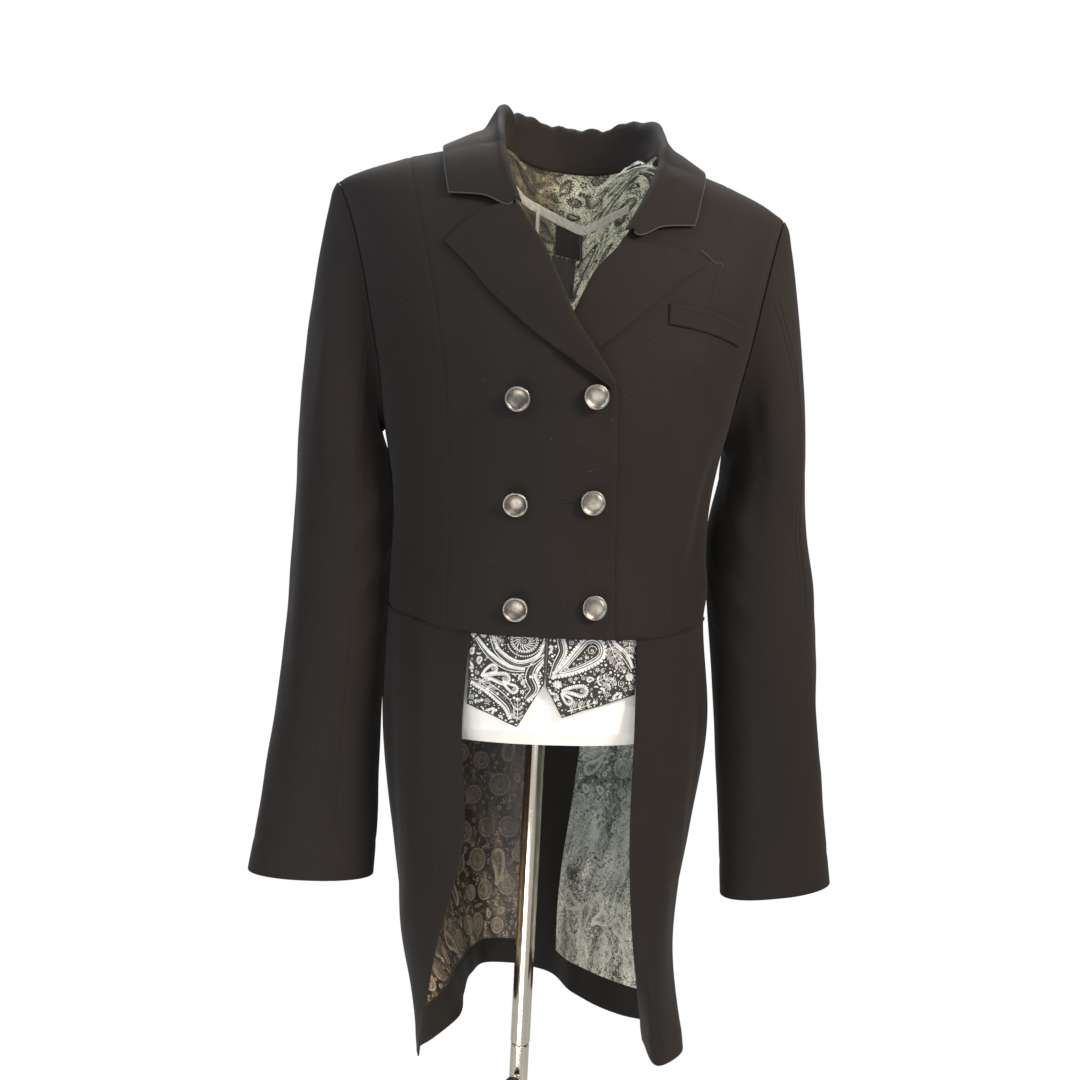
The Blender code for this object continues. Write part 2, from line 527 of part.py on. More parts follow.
def tail_columns(side):
    """Eight columns of points from the waist seam to the hem."""
    rows = TAIL_R if side < 0 else TAIL_L
    hem = HEM_R if side < 0 else HEM_L
    f = float(psi_s(np.array(CX + side * TAIL_FRONT_X[0 if side < 0 else 1]), np.array(0.936))[0])
    psi = f + (side * 2.0 - f) * np.array([0, 0.165, 0.33, 0.495, 0.66, 0.825, 0.925, 1.0])
    waist = shell(psi, np.zeros(8))
    if side < 0:                                     # the underlap reaches past the middle, inside the left tail
        waist[6, 1] -= 0.0042
        waist[7] = (0.018, waist[7, 1] - 0.0052, waist[7, 2])
    cols = []
    for k in range(8):
        pts = [tuple(waist[k])] + [(*row[1 + k], row[0]) for row in rows[:-1]] + [(*rows[-1][1 + k], hem[k])]
        cols.append(np.array(pts))
    return cols


TAIL_V = np.r_[0, 0.016, np.linspace(0.07, 0.93, 12), 0.984, 1]
VENT_V = 1 - VENT_BAND / 0.41
TAIL_V_LEFT = np.r_[0, 0.016, np.linspace(0.07, VENT_V - 0.05, 11), VENT_V - 0.0015, VENT_V + 0.0015, 0.905, 0.990, 1]
HEM_SHARE = HEM_BAND / 0.395
TAIL_U = np.r_[0, 0.035, np.linspace(0.12, 0.87, 7), 1 - HEM_SHARE - 0.0015, 1 - HEM_SHARE + 0.0015, 0.992, 1]


def tail_grid(side, us=TAIL_U, vs=None):
    """Rows from the waist seam to the hem, columns from the front edge to the centre back."""
    vs = (TAIL_V if side < 0 else TAIL_V_LEFT) if vs is None else vs
    lines = []
    for c in tail_columns(side):
        ts = np.r_[0, np.cumsum(-np.diff(c[:, 2]))]
        lines.append(spline(ts, c, ts[-1] * np.asarray(us)))
    lines = np.stack(lines, 1)
    out = np.empty((len(us), len(vs), 3))
    for i, row in enumerate(lines):
        ts = np.r_[0, np.cumsum(np.linalg.norm(np.diff(row[:, :2], axis=0), axis=1))]
        fine = spline(ts, row, np.linspace(0, ts[-1], 300))
        length = np.r_[0, np.cumsum(np.linalg.norm(np.diff(fine, axis=0), axis=1))]
        out[i] = np.stack([np.interp(length[-1] * vs, length, fine[:, q]) for q in range(3)], -1)
    # the first row follows the waist seam
    x0 = out[0, :, 0]
    u = np.clip((x0 - CX) / spline(BODY[:, 0], BODY[:, 1], out[0, :, 2]), -1, 1)
    q = np.interp(np.abs(u), RING[1], RING[0])
    psi = np.where(out[0, :, 1] <= 0, q, 2 - q)
    out[0, :, 2] = waist_z(psi) - WAIST_GAP / 2
    return out


def outward(p, u, v):
    n = grid_normals(p, u, v)
    k = len(p[0]) // 2
    return n if np.sum(n[2, k] * (p[2, k] - np.array([0, 0, p[2, k, 2]]))) > 0 else -n


for side, tag in ((-1, "right"), (1, "left")):
    g = tail_grid(side)
    n = outward(g, TAIL_U, TAIL_V if side < 0 else TAIL_V_LEFT)
    wall("tail_" + tag, g, CLOTH, "wool", g - n * CLOTH)
    lay_o, lay_i = g - n * (CLOTH + LAYER), g - n * (CLOTH + LAYER + LINING)
    last = len(TAIL_U) - 1
    body_rows, hem_rows = slice(1, last - 2), slice(last - 2, last)
    if side < 0:
        cols = slice(1, len(TAIL_V) - 1)
    else:
        k = int(np.argmin(np.abs(TAIL_V_LEFT - (VENT_V - 0.0015))))
        cols = slice(1, k + 1)
        vent = slice(k + 1, len(TAIL_V_LEFT) - 1)
        wall("vent_facing_left", lay_o[body_rows, vent], LINING, "wool", lay_i[body_rows, vent])
    wall("tail_lining_" + tag, lay_o[body_rows, cols], LINING, "jacquard", lay_i[body_rows, cols])
    hem_cols = slice(1, len(g[0]) - 1)
    wall("hem_facing_" + tag, lay_o[hem_rows, hem_cols], LINING, "wool", lay_i[hem_rows, hem_cols])


# ------------------------------------------------------------------ vest points
def vest(name, rows):
    rows = np.array(rows)
    w = np.linspace(0, 1, 6)
    z = VEST_TOP + (rows[:, 1] - VEST_TOP)[None, :] * w[:, None]
    x = np.repeat(rows[None, :, 0], len(w), 0)
    wall(name, front(x, z, -0.0045), 0.0014, "vest_brocade", front(x, z, -0.0059))


vest("vest_point_right", VEST_R)
vest("vest_point_left", VEST_L)


# ------------------------------------------------------------------ lapels and collar
def lapel(name, rows, base_fn, ni=10, nj=7):
    """The turned-back front: it lies on the panel from the roll line to its outer edge."""
    rows = np.array(rows)
    r = spline(np.linspace(0, 1, len(rows)), rows, np.linspace(0, 1, ni))
    w = np.linspace(0.0, 1.0, nj)[None, :, None]
    pts = (r[:, None, 0:2] * (1 - w) * (1 - 2 * w) + r[:, None, 2:4] * 4 * w * (1 - w) + r[:, None, 4:6] * w * (2 * w - 1))
    x, z = pts[..., 0], pts[..., 1]
    lift = base_fn(x, z)
    wall(name, front(x, z, lift + CLOTH), CLOTH, "wool", front(x, z, lift))


lapel("lapel_right", LAPEL_R, lambda x, z: over_right(x, z) + LAYER + 0.0006)
lapel("lapel_left", LAPEL_L, lambda x, z: LAYER + 0.0006 * sstep(0.012, 0.030, x))

rows = np.array(COLLAR)
ts = np.r_[0, np.cumsum(np.linalg.norm(np.diff(rows[:, 3:6], axis=0), axis=1))]
cr = spline(ts / ts[-1], rows, np.linspace(0, 1, 25))
seat = keep_off(cr[:, 0:3], 0.0016, 0.0016)
fold = keep_off(cr[:, 3:6], 0.0046)
tip = keep_off(cr[:, 6:9], 0.0030, 0.0030)
out = (tip - fold) * np.array([1, 1, 0])
out /= np.maximum(np.linalg.norm(out, axis=1, keepdims=True), 1e-9)
mid = keep_off(fold + (tip - fold) * 0.50, 0.0040, 0.0080 + 0.014 * sstep(0.0, 0.05, tip[:, 1]))
under = np.stack([seat, seat * 0.45 + fold * 0.55, fold - np.array([0, 0, 0.0012]), fold + out * 0.0024 + np.array([0, 0, 0.0006]),
                  fold + out * 0.0048 - np.array([0, 0, 0.0030]), mid, tip], 1)
under[:, 4] = keep_off(under[:, 4], 0.0042)
n = grid_normals(under)
if n[12, 5, 1] < 0:
    n = -n
wall("collar", under + n * 0.0020, 0.002, "wool", under)


# ------------------------------------------------------------------ sleeves
def armhole_loop(side):
    """The armhole from the shoulder tip down the front, and up the back, by share of its length."""
    s = np.linspace(1, S_UNDERARM, 120)
    f = shell(armhole_psi(side, s), s)
    b = shell(armhole_psi(side, s[::-1], back=True), s[::-1])
    loop = np.concatenate([f, b[1:]])
    length = np.r_[0, np.cumsum(np.linalg.norm(np.diff(loop, axis=0), axis=1))]
    return lambda th: np.stack([np.interp(np.asarray(th) * length[-1], length, loop[:, k]) for k in range(3)], -1)


def sleeve_ring(row, side, th):
    """th 0 outer side, 0.25 front, 0.5 inner side, 0.75 back."""
    z, xo, xi, my, hy, rise = row
    a = 2 * np.pi * np.asarray(th)
    c, s = np.cos(a), np.sin(a)
    x = (xo + xi) / 2 + side * abs(xo - xi) / 2 * np.sign(c) * np.abs(c) ** 0.92
    y = my - hy * np.sign(s) * np.abs(s) ** 0.92
    return np.stack([x, y, z + rise * c], -1)


def sleeve_grid(side, th, caps, downs):
    rows = np.array(SLEEVE_R if side < 0 else SLEEVE_L)
    th = np.asarray(th, float)
    a = armhole_loop(side)(th % 1.0)
    first = sleeve_ring(rows[0], side, th)
    out, rise = np.array([side, 0, 0.0]), np.array([0, 0, 1.0])
    a = a + out * 0.0012
    fall = (a - first)[:, 2:3]
    b1 = a + out * (0.011 if side < 0 else 0.013) - rise * 0.09 * fall
    b2 = first + rise * 0.42 * fall
    t = np.asarray(caps)[:, None, None]
    cap = (1 - t) ** 3 * a + 3 * (1 - t) ** 2 * t * b1 + 3 * (1 - t) * t**2 * b2 + t**3 * first
    rr = spline(rows[0, 0] - rows[:, 0], rows, (rows[0, 0] - rows[-1, 0]) * np.asarray(downs))
    return np.concatenate([cap, np.stack([sleeve_ring(r, side, th) for r in rr])])


SPLIT, SLIT = 0.30, 0.0011
for side, tag in ((-1, "right"), (1, "left")):
    th = np.r_[np.linspace(-SPLIT + SLIT, SPLIT - SLIT, 11), np.linspace(SPLIT + SLIT, 1 - SPLIT - SLIT, 7)]
    g = sleeve_grid(side, th, np.linspace(0, 1, 6), np.linspace(0, 1, 9)[1:])
    ring = np.concatenate([g[:, -1:], g, g[:, :1]], 1)
    n = grid_normals(ring, None, np.r_[th[-1] - 1, th, th[0] + 1])[:, 1:-1]
    if n[10, 6, 0] * side < 0:
        n = -n
    for name, cols in (("top_sleeve_", slice(0, 11)), ("under_sleeve_", slice(11, 18))):
        wall(name + tag, g[:, cols], CLOTH, "wool", (g - n * CLOTH)[:, cols])


# ------------------------------------------------------------------ pocket, buttons
w = np.array(WELT)
xx = np.repeat(w[None, :, 0], 3, 0)
zz = w[None, :, 1] + (w[None, :, 2] - w[None, :, 1]) * np.linspace(0, 1, 3)[:, None]
wall("pocket_welt", front(xx, zz, LAYER + 0.0014), 0.0014, "wool", front(xx, zz, LAYER))

MM = 0.001
BUTTON = [(0, 0.65), (3.0, 0.65), (3.0, 2.0), (9.6, 2.2), (10.8, 3.3), (10.8, 4.3), (10.1, 4.9), (9.0, 4.6),
          (6.0, 4.0), (3.0, 3.7), (0, 3.6)]
for name, x, z, droop in BUTTONS:
    base = max(float(over_right(np.array(x + i), np.array(z + j))) for i in (-0.01, 0.01) for j in (-0.01, 0.01))
    p = Vector(front(x, z, base).tolist())
    m = Vector((front(x, z, 0.01) - front(x, z, 0.0)).tolist()).normalized()
    m = Matrix.Translation(p) @ m.to_track_quat("Z", "Y").to_matrix().to_4x4()
    lathe(name, [(r * MM, h * MM) for r, h in BUTTON], "pewter", 20, m)


# ------------------------------------------------------------------ inside of the neck
def inside(x, z, d):
    """Inside of the back by x and z, d in from the outer face."""
    x, z = np.asarray(x, float), np.asarray(z, float)
    p, s = psi_s(x, z)
    return body(np.where(p < 0, -2 - p, 2 - p), s, -np.asarray(d, float))


rib = np.array(RIBBON)
rr = spline(np.linspace(0, 1, len(rib)), rib, np.linspace(0, 1, 14))
half = 0.0042
w = np.array([-1.0, 1.0])[:, None]
xx, zz, dd = rr[:, 0] + 0 * w, rr[:, 1] + w * half, rr[:, 2] + 0 * w
wall("hanger_ribbon", inside(xx, zz, dd), 0.0010, "ribbon", inside(xx, zz, dd + 0.0010))

for name, mat, corners, d in LABELS:
    c = np.array(corners)
    a = np.linspace(0, 1, 4)[None, :, None]
    b = np.linspace(0, 1, 4)[:, None, None]
    q = (c[0] * (1 - a) + c[1] * a) * (1 - b) + (c[3] * (1 - a) + c[2] * a) * b
    wall(name, inside(q[..., 0], q[..., 1], d), 0.0010, mat, inside(q[..., 0], q[..., 1], d + 0.0010))


# ------------------------------------------------------------------ dress form
def form_mesh():
    rows = 19
    cols = 48
    half_ring = np.linspace(0, 2, cols // 2 + 1)
    psi = np.r_[half_ring, -half_ring[-2:0:-1]]
    def foot(p):
        return FORM_BOTTOM + 0 * np.abs(p)
    verts = []
    s_levels = np.r_[0, 0.02, np.linspace(0.06, 0.985, rows - 2)]
    for s in s_levels:
        verts.append(shell(psi, np.full(len(psi), s), FORM, FORM_DROP, foot))
    v = np.concatenate(verts)
    m = len(psi)
    faces = []
    for i in range(len(s_levels) - 1):
        for j in range(m):
            k = (j + 1) % m
            faces.append((i * m + j, i * m + k, (i + 1) * m + k, (i + 1) * m + j))
    # close the ridge of the shoulders and the flat foot, front to back
    n = cols // 2
    idx_front = {}
    for base in (0, (len(s_levels) - 1) * m):
        q = cols // 4
        right = lambda j: (base + (j % m))
        # front half runs over psi -1..1, back half over the rest, paired by x
        for side in (1, -1):
            for j in range(q):
                f0, f1 = side * j, side * (j + 1)
                b0, b1 = side * (n - j), side * (n - j - 1)
                if f1 % m == b1 % m:
                    faces.append((right(f0), right(f1), right(b0)))
                else:
                    faces.append((right(f0), right(f1), right(b1), right(b0)))
    return v, faces


v, f = form_mesh()
me = bpy.data.meshes.new("form_body")
me.from_pydata([tuple(map(float, q)) for q in v], [], f)
bm = bmesh.new()
bm.from_mesh(me)
bmesh.ops.remove_doubles(bm, verts=bm.verts, dist=1e-6)
bmesh.ops.recalc_face_normals(bm, faces=bm.faces)
if bm.calc_volume(signed=True) < 0:
    bmesh.ops.reverse_faces(bm, faces=bm.faces)
bm.to_mesh(me)
bm.free()
me.materials.append(MATERIALS["form_white"])
me.shade_smooth()
me.set_sharp_from_angle(angle=math.radians(50))
form = bpy.data.objects.new("form_body", me)
bpy.context.scene.collection.objects.link(form)

# neck scoop: an ellipse drawn through from front to back
bm = bmesh.new()
ring = [(CX + 0.006 + SCOOP["half_w"] * math.cos(2 * math.pi * k / 40), SCOOP["z"] + SCOOP["half_h"] * math.sin(2 * math.pi * k / 40)) for k in range(40)]
lo = [bm.verts.new((x, -0.2, z)) for x, z in ring]
hi = [bm.verts.new((x, 0.2, z)) for x, z in ring]
bm.faces.new(lo)
bm.faces.new(hi[::-1])
for k in range(40):
    m = (k + 1) % 40
    bm.faces.new((lo[m], lo[k], hi[k], hi[m]))
bmesh.ops.recalc_face_normals(bm, faces=bm.faces)
me = bpy.data.meshes.new("scoop_cutter")
bm.to_mesh(me)
bm.free()
cutter = bpy.data.objects.new("scoop_cutter", me)
bpy.context.scene.collection.objects.link(cutter)
cutter.hide_render = True
cutter.display_type = "WIRE"
mod = form.modifiers.new("neck", "BOOLEAN")
mod.operation = "DIFFERENCE"
mod.object = cutter

# ------------------------------------------------------------------ stand
lathe("form_flange", [(0, 0.8325), (0.035, 0.8325), (0.035, 0.8367), (0, 0.8367)], "chrome", 32)
lathe("pole_upper", [(0, INNER_END), (POLE_INNER_R - 0.0008, INNER_END), (POLE_INNER_R, INNER_END + 0.0015), (POLE_INNER_R, JOINT_Z),
                     (POLE_R - 0.0008, JOINT_Z), (POLE_R, JOINT_Z + 0.0010), (POLE_R, 0.8322), (0, 0.8322)], "chrome", 32)
lathe("pole_lower", [(TUBE_BORE, 0.0283), (TUBE_R, 0.0283), (TUBE_R, 0.5322), (TUBE_R - 0.0004, 0.5332), (TUBE_BORE, 0.5332)], "chrome", 32, bore=True)
lathe("base_plate", [(0, 0), (BASE_R - 0.002, 0), (BASE_R, 0.002), (BASE_R, 0.0042), (BASE_R - 0.003, 0.0065), (0.030, 0.0085), (0.024, 0.013),
                     (0.022, 0.028), (0, 0.028)], "base_steel", 48)


def along(direction, start, z):
    m = direction.to_track_quat("Z", "Y").to_matrix().to_4x4()
    return Matrix.Translation(Vector((0, 0, z)) + direction * start) @ m


lathe("clamp_boss", [(0.0034, 0), (0.0068, 0), (0.0068, 0.0030), (0.0060, 0.0038), (0.0034, 0.0038)], "chrome", 20, along(CLAMP_DIR, TUBE_R + 0.0003, CLAMP_Z), bore=True)
screw = lathe("clamp_knob", [(0, 0), (0.0030, 0), (0.0030, 0.0065), (0.0085, 0.0065), (0.0098, 0.0080), (0.0098, 0.0150), (0.0085, 0.0165), (0, 0.0165)],
              "chrome", 20, along(CLAMP_DIR, TUBE_R + 0.0012, CLAMP_Z))
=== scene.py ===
"""Looks of the shadbelly riding coat on its dress form: cloth shells, linings, trims, light, camera.

Metres, +Z up, X to the coat's own left, -Y to the front. The cloth is worked out from the same named sizes and short
tables as the CAD model, on finer grids, with creases placed one by one.
"""
import json
import math

import bpy
import numpy as np
from mathutils import Matrix, Vector
from mathutils.kdtree import KDTree

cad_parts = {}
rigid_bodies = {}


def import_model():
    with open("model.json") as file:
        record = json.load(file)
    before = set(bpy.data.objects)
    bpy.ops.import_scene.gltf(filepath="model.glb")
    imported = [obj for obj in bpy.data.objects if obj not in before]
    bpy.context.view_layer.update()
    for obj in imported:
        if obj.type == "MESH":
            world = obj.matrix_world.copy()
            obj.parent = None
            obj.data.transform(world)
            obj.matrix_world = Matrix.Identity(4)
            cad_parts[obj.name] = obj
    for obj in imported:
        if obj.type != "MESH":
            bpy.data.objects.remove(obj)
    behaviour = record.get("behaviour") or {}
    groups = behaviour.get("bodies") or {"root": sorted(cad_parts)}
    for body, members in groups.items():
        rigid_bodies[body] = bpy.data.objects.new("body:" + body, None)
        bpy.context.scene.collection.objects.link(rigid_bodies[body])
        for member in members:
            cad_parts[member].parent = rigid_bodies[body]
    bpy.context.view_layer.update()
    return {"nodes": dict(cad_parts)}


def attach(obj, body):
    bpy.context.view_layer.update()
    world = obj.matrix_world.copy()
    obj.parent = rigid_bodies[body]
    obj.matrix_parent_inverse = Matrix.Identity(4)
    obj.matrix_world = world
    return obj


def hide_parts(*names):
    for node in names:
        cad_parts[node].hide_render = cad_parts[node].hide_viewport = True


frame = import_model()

COAT = "coat_on_form"

# ------------------------------------------------------------------ driving sizes (metres)
CLOTH = 0.0015          # cloth wall: wool gabardine with its fusing
LINING = 0.0010         # jacquard lining wall
SEAM = 0.0006           # gap between neighbouring pieces
LAYER = 0.0008          # gap between a panel and what lies on it
CX = 0.003              # the coat hangs this far to its left of the pole
Z_CHEST = 1.200         # above this height the body closes towards the shoulder line
S_CHEST = 0.60          # its share of a panel's height
RING_POWER = 2.3        # plan roundness of the body
DOME_POWER = 2.5        # side-view roundness from chest to shoulder

BUTTON_R = 0.0108
POLE_R = 0.00925        # upper pole
POLE_INNER_R = 0.0075   # its reduced lower length, inside the lower tube
TUBE_R, TUBE_BORE = 0.00875, 0.0079
JOINT_Z = 0.5345        # foot of the upper pole at the lowest stop
INNER_END = 0.235
FORM_BOTTOM = 0.837
BASE_R = 0.165
CLAMP_Z = 0.4985
CLAMP_DIR = Vector((-0.34, -0.94, 0)).normalized()

# body of the coat: height, half width, depth in front, depth behind
BODY = np.array([
    (0.920, 0.1490, 0.1150, 0.1170),
    (0.951, 0.1485, 0.1140, 0.1140),
    (1.000, 0.1475, 0.1140, 0.1060),
    (1.050, 0.1485, 0.1170, 0.1040),
    (1.100, 0.1560, 0.1220, 0.1080),
    (1.150, 0.1680, 0.1240, 0.1130),
    (1.200, 0.1820, 0.1210, 0.1150),
    (1.250, 0.1920, 0.1170, 0.1130),
    (1.300, 0.2020, 0.1120, 0.1080),
    (1.345, 0.2130, 0.1100, 0.1000),
    (1.420, 0.2130, 0.1100, 0.1000)])
# shoulder line: distance from the middle, height
SHOULDER = np.array([(0.000, 1.3895), (0.070, 1.3770), (0.110, 1.3655), (0.150, 1.3540),
                     (0.190, 1.3400), (0.213, 1.3285), (0.225, 1.3200)])
TILT = 0.017            # the right shoulder sits higher by this slope
# the dress form inside it: same columns as BODY
FORM = np.array([
    (0.837, 0.1180, 0.0930, 0.0930),
    (0.848, 0.1290, 0.1005, 0.1010),
    (0.900, 0.1340, 0.1030, 0.1040),
    (0.950, 0.1330, 0.1010, 0.1000),
    (1.000, 0.1310, 0.1010, 0.0930),
    (1.050, 0.1330, 0.1040, 0.0910),
    (1.100, 0.1400, 0.1080, 0.0950),
    (1.150, 0.1480, 0.1100, 0.1000),
    (1.200, 0.1560, 0.1070, 0.1010),
    (1.250, 0.1640, 0.1020, 0.0980),
    (1.300, 0.1720, 0.0970, 0.0930),
    (1.345, 0.1800, 0.0940, 0.0850)])
FORM_DROP = 0.012       # its shoulder line below the coat's
SCOOP = dict(z=1.400, half_w=0.105, half_h=0.210)   # its neck cut-out

# front edge and lapel roll of each front, from the hem up: x, z
EDGE_R = [(0.0520, 0.9340), (0.0490, 1.0000), (0.0465, 1.0600), (0.0435, 1.1200), (0.0400, 1.1500),
          (0.0200, 1.1790), (-0.0005, 1.2090), (-0.0090, 1.2280), (-0.0225, 1.2585),
          (-0.0360, 1.2815), (-0.0500, 1.3050), (-0.0580, 1.3340), (-0.0620, 1.3580), (-0.0640, 1.3830)]
EDGE_L = [(-0.0500, 0.9345), (-0.0500, 1.0000), (-0.0500, 1.0600), (-0.0480, 1.1100), (-0.0300, 1.1600),
          (-0.0120, 1.1880), (0.0030, 1.2110), (0.0110, 1.2290), (0.0210, 1.2490), (0.0380, 1.2720),
          (0.0490, 1.2890), (0.0610, 1.3150), (0.0720, 1.3370), (0.0790, 1.3560), (0.0830, 1.3760)]
# princess seam from mid shoulder to the waist: distance from the middle, z
PRINCESS = [(0.0960, 0.9400), (0.0970, 1.0000), (0.0990, 1.0600), (0.1040, 1.1200), (0.1100, 1.1700),
            (0.1190, 1.2200), (0.1290, 1.2650), (0.1380, 1.3050), (0.1440, 1.3330), (0.1470, 1.3620)]
TAIL_FRONT_X = (0.0755, 0.0710)   # the right and left tails' front edges at the waist, from the middle
# lapels, from the break up to the gorge: roll x, z, middle x, z, outer edge x, z
LAPEL_R = [(0.0385, 1.1520, 0.0372, 1.1500, 0.0355, 1.1478),
           (0.0200, 1.1790, 0.0120, 1.1730, 0.0060, 1.1662),
           (-0.0005, 1.2090, -0.0190, 1.1990, -0.0300, 1.1905),
           (-0.0225, 1.2585, -0.0500, 1.2380, -0.0690, 1.2240),
           (-0.0360, 1.2815, -0.0640, 1.2640, -0.0880, 1.2455),
           (-0.0480, 1.3015, -0.0790, 1.2960, -0.1100, 1.2675)]
LAPEL_L = [(-0.0120, 1.1880, 0.0010, 1.1790, 0.0120, 1.1710),
           (0.0030, 1.2110, 0.0230, 1.2000, 0.0400, 1.1950),
           (0.0110, 1.2290, 0.0400, 1.2180, 0.0680, 1.2215),
           (0.0210, 1.2490, 0.0560, 1.2390, 0.0930, 1.2440),
           (0.0380, 1.2700, 0.0800, 1.2760, 0.1210, 1.2650)]
# collar round the neck, right gorge to left gorge: seat x y z, fold x y z, outer edge x y z
COLLAR = [(-0.0470, -0.0985, 1.3045, -0.0490, -0.1035, 1.3070, -0.1105, -0.0935, 1.3150),
          (-0.0545, -0.0800, 1.3270, -0.0575, -0.0845, 1.3320, -0.1150, -0.0845, 1.3370),
          (-0.0595, -0.0500, 1.3560, -0.0620, -0.0530, 1.3760, -0.1170, -0.0560, 1.3660),
          (-0.0610, -0.0200, 1.3770, -0.0610, -0.0180, 1.3975, -0.1165, -0.0220, 1.3835),
          (-0.0580, 0.0120, 1.3820, -0.0590, 0.0120, 1.4170, -0.1110, 0.0200, 1.3850),
          (-0.0420, 0.0400, 1.3790, -0.0440, 0.0430, 1.4225, -0.0870, 0.0620, 1.3740),
          (-0.0150, 0.0560, 1.3755, -0.0160, 0.0600, 1.4180, -0.0420, 0.0880, 1.3640),
          (0.0120, 0.0600, 1.3745, 0.0120, 0.0650, 1.4160, 0.0110, 0.0950, 1.3610),
          (0.0390, 0.0560, 1.3755, 0.0400, 0.0600, 1.4165, 0.0640, 0.0880, 1.3640),
          (0.0660, 0.0400, 1.3790, 0.0690, 0.0430, 1.4200, 0.1060, 0.0620, 1.3730),
          (0.0810, 0.0120, 1.3820, 0.0840, 0.0120, 1.4130, 0.1260, 0.0200, 1.3815),
          (0.0830, -0.0200, 1.3770, 0.0850, -0.0180, 1.3935, 0.1290, -0.0230, 1.3790),
          (0.0790, -0.0500, 1.3540, 0.0820, -0.0530, 1.3710, 0.1260, -0.0600, 1.3570),
          (0.0660, -0.0800, 1.3240, 0.0690, -0.0850, 1.3290, 0.1190, -0.0870, 1.3310),
          (0.0440, -0.1010, 1.2840, 0.0470, -0.1065, 1.2860, 0.1100, -0.1010, 1.3000)]
# sleeves, top to cuff: z, outer x, inner x, middle y, half depth in y, rise of the outer side
SLEEVE_R = [(1.0850, -0.2345, -0.1482, 0.0060, 0.0640, 0.004),
            (1.0300, -0.2350, -0.1413, 0.0040, 0.0610, 0.000),
            (0.9800, -0.2360, -0.1435, -0.0010, 0.0570, 0.000),
            (0.9200, -0.2375, -0.1442, -0.0060, 0.0530, 0.000),
            (0.8600, -0.2415, -0.1458, -0.0110, 0.0490, 0.000),
            (0.8000, -0.2480, -0.1455, -0.0160, 0.0440, 0.000),
            (0.7500, -0.2535, -0.1445, -0.0200, 0.0390, 0.001),
            (0.7020, -0.2600, -0.1460, -0.0240, 0.0340, 0.001)]
SLEEVE_L = [(1.0850, 0.2430, 0.1680, 0.0060, 0.0640, 0.004),
            (1.0300, 0.2485, 0.1575, 0.0040, 0.0610, 0.001),
            (0.9800, 0.2570, 0.1578, -0.0010, 0.0570, 0.002),
            (0.9200, 0.2590, 0.1640, -0.0060, 0.0530, 0.003),
            (0.8600, 0.2640, 0.1695, -0.0110, 0.0490, 0.004),
            (0.8000, 0.2720, 0.1740, -0.0160, 0.0440, 0.006),
            (0.7500, 0.2778, 0.1780, -0.0200, 0.0390, 0.007),
            (0.6950, 0.2850, 0.1810, -0.0240, 0.0340, 0.008)]
UNDERARM_Z = 1.108
ARMHOLE_FRONT, ARMHOLE_BACK = 0.40, 0.46     # how far the armhole is cut into front and back
# tails: height, then the plan of the cloth from its front edge round to the centre back
TAIL_R = [(0.860, (-0.0755, -0.1050), (-0.1100, -0.0890), (-0.1380, -0.0460), (-0.1443, 0.0080), (-0.1260, 0.0640), (-0.0750, 0.1080), (-0.0340, 0.1195), (0.0180, 0.1185)),
          (0.750, (-0.0695, -0.1030), (-0.1010, -0.0850), (-0.1250, -0.0470), (-0.1315, 0.0080), (-0.1150, 0.0660), (-0.0660, 0.1140), (-0.0320, 0.1300), (0.0180, 0.1300)),
          (0.650, (-0.0890, -0.0950), (-0.1090, -0.0720), (-0.1180, -0.0340), (-0.1080, 0.0120), (-0.0860, 0.0660), (-0.0520, 0.1180), (-0.0300, 0.1370), (0.0180, 0.1370)),
          (0.555, (-0.0995, -0.0780), (-0.0990, -0.0560), (-0.0860, -0.0310), (-0.0610, 0.0020), (-0.0530, 0.0600), (-0.0430, 0.1150), (-0.0290, 0.1440), (0.0180, 0.1440))]
TAIL_L = [(0.860, (0.0755, -0.1045), (0.1130, -0.0900), (0.1470, -0.0520), (0.1600, 0.0040), (0.1380, 0.0620), (0.0850, 0.1090), (0.0400, 0.1215), (-0.0030, 0.1250)),
          (0.750, (0.0775, -0.1020), (0.1080, -0.0910), (0.1360, -0.0560), (0.1485, 0.0000), (0.1250, 0.0590), (0.0740, 0.1110), (0.0380, 0.1320), (-0.0030, 0.1380)),
          (0.650, (0.0880, -0.0890), (0.1030, -0.0920), (0.1270, -0.0620), (0.1330, -0.0050), (0.1080, 0.0430), (0.0640, 0.0990), (0.0380, 0.1350), (-0.0030, 0.1480)),
          (0.555, (0.1080, -0.0450), (0.1150, -0.0850), (0.1440, -0.0590), (0.1400, -0.0060), (0.0990, 0.0210), (0.0600, 0.0790), (0.0400, 0.1360), (-0.0030, 0.1570))]
# hem heights along the same columns
HEM_R = (0.5535, 0.5510, 0.5490, 0.5560, 0.5570, 0.5580, 0.5580, 0.5580)
HEM_L = (0.5560, 0.5490, 0.5500, 0.5530, 0.5530, 0.5520, 0.5530, 0.5560)
HEM_BAND = 0.024        # depth of the turned-up cloth inside the hems
VENT_BAND = 0.072       # width of the turned-in cloth at the left tail's vent
# vest points under the fronts: x, lower edge z
VEST_R = [(-0.0735, 0.8720), (-0.0620, 0.8675), (-0.0500, 0.8635), (-0.0390, 0.8585), (-0.0285, 0.8545),
          (-0.0230, 0.8640), (-0.0150, 0.8790), (-0.0065, 0.8925)]
VEST_L = [(-0.0050, 0.8905), (0.0020, 0.8790), (0.0105, 0.8640), (0.0180, 0.8665), (0.0280, 0.8705),
          (0.0440, 0.8750), (0.0600, 0.8800), (0.0765, 0.8850)]
VEST_TOP = 0.960
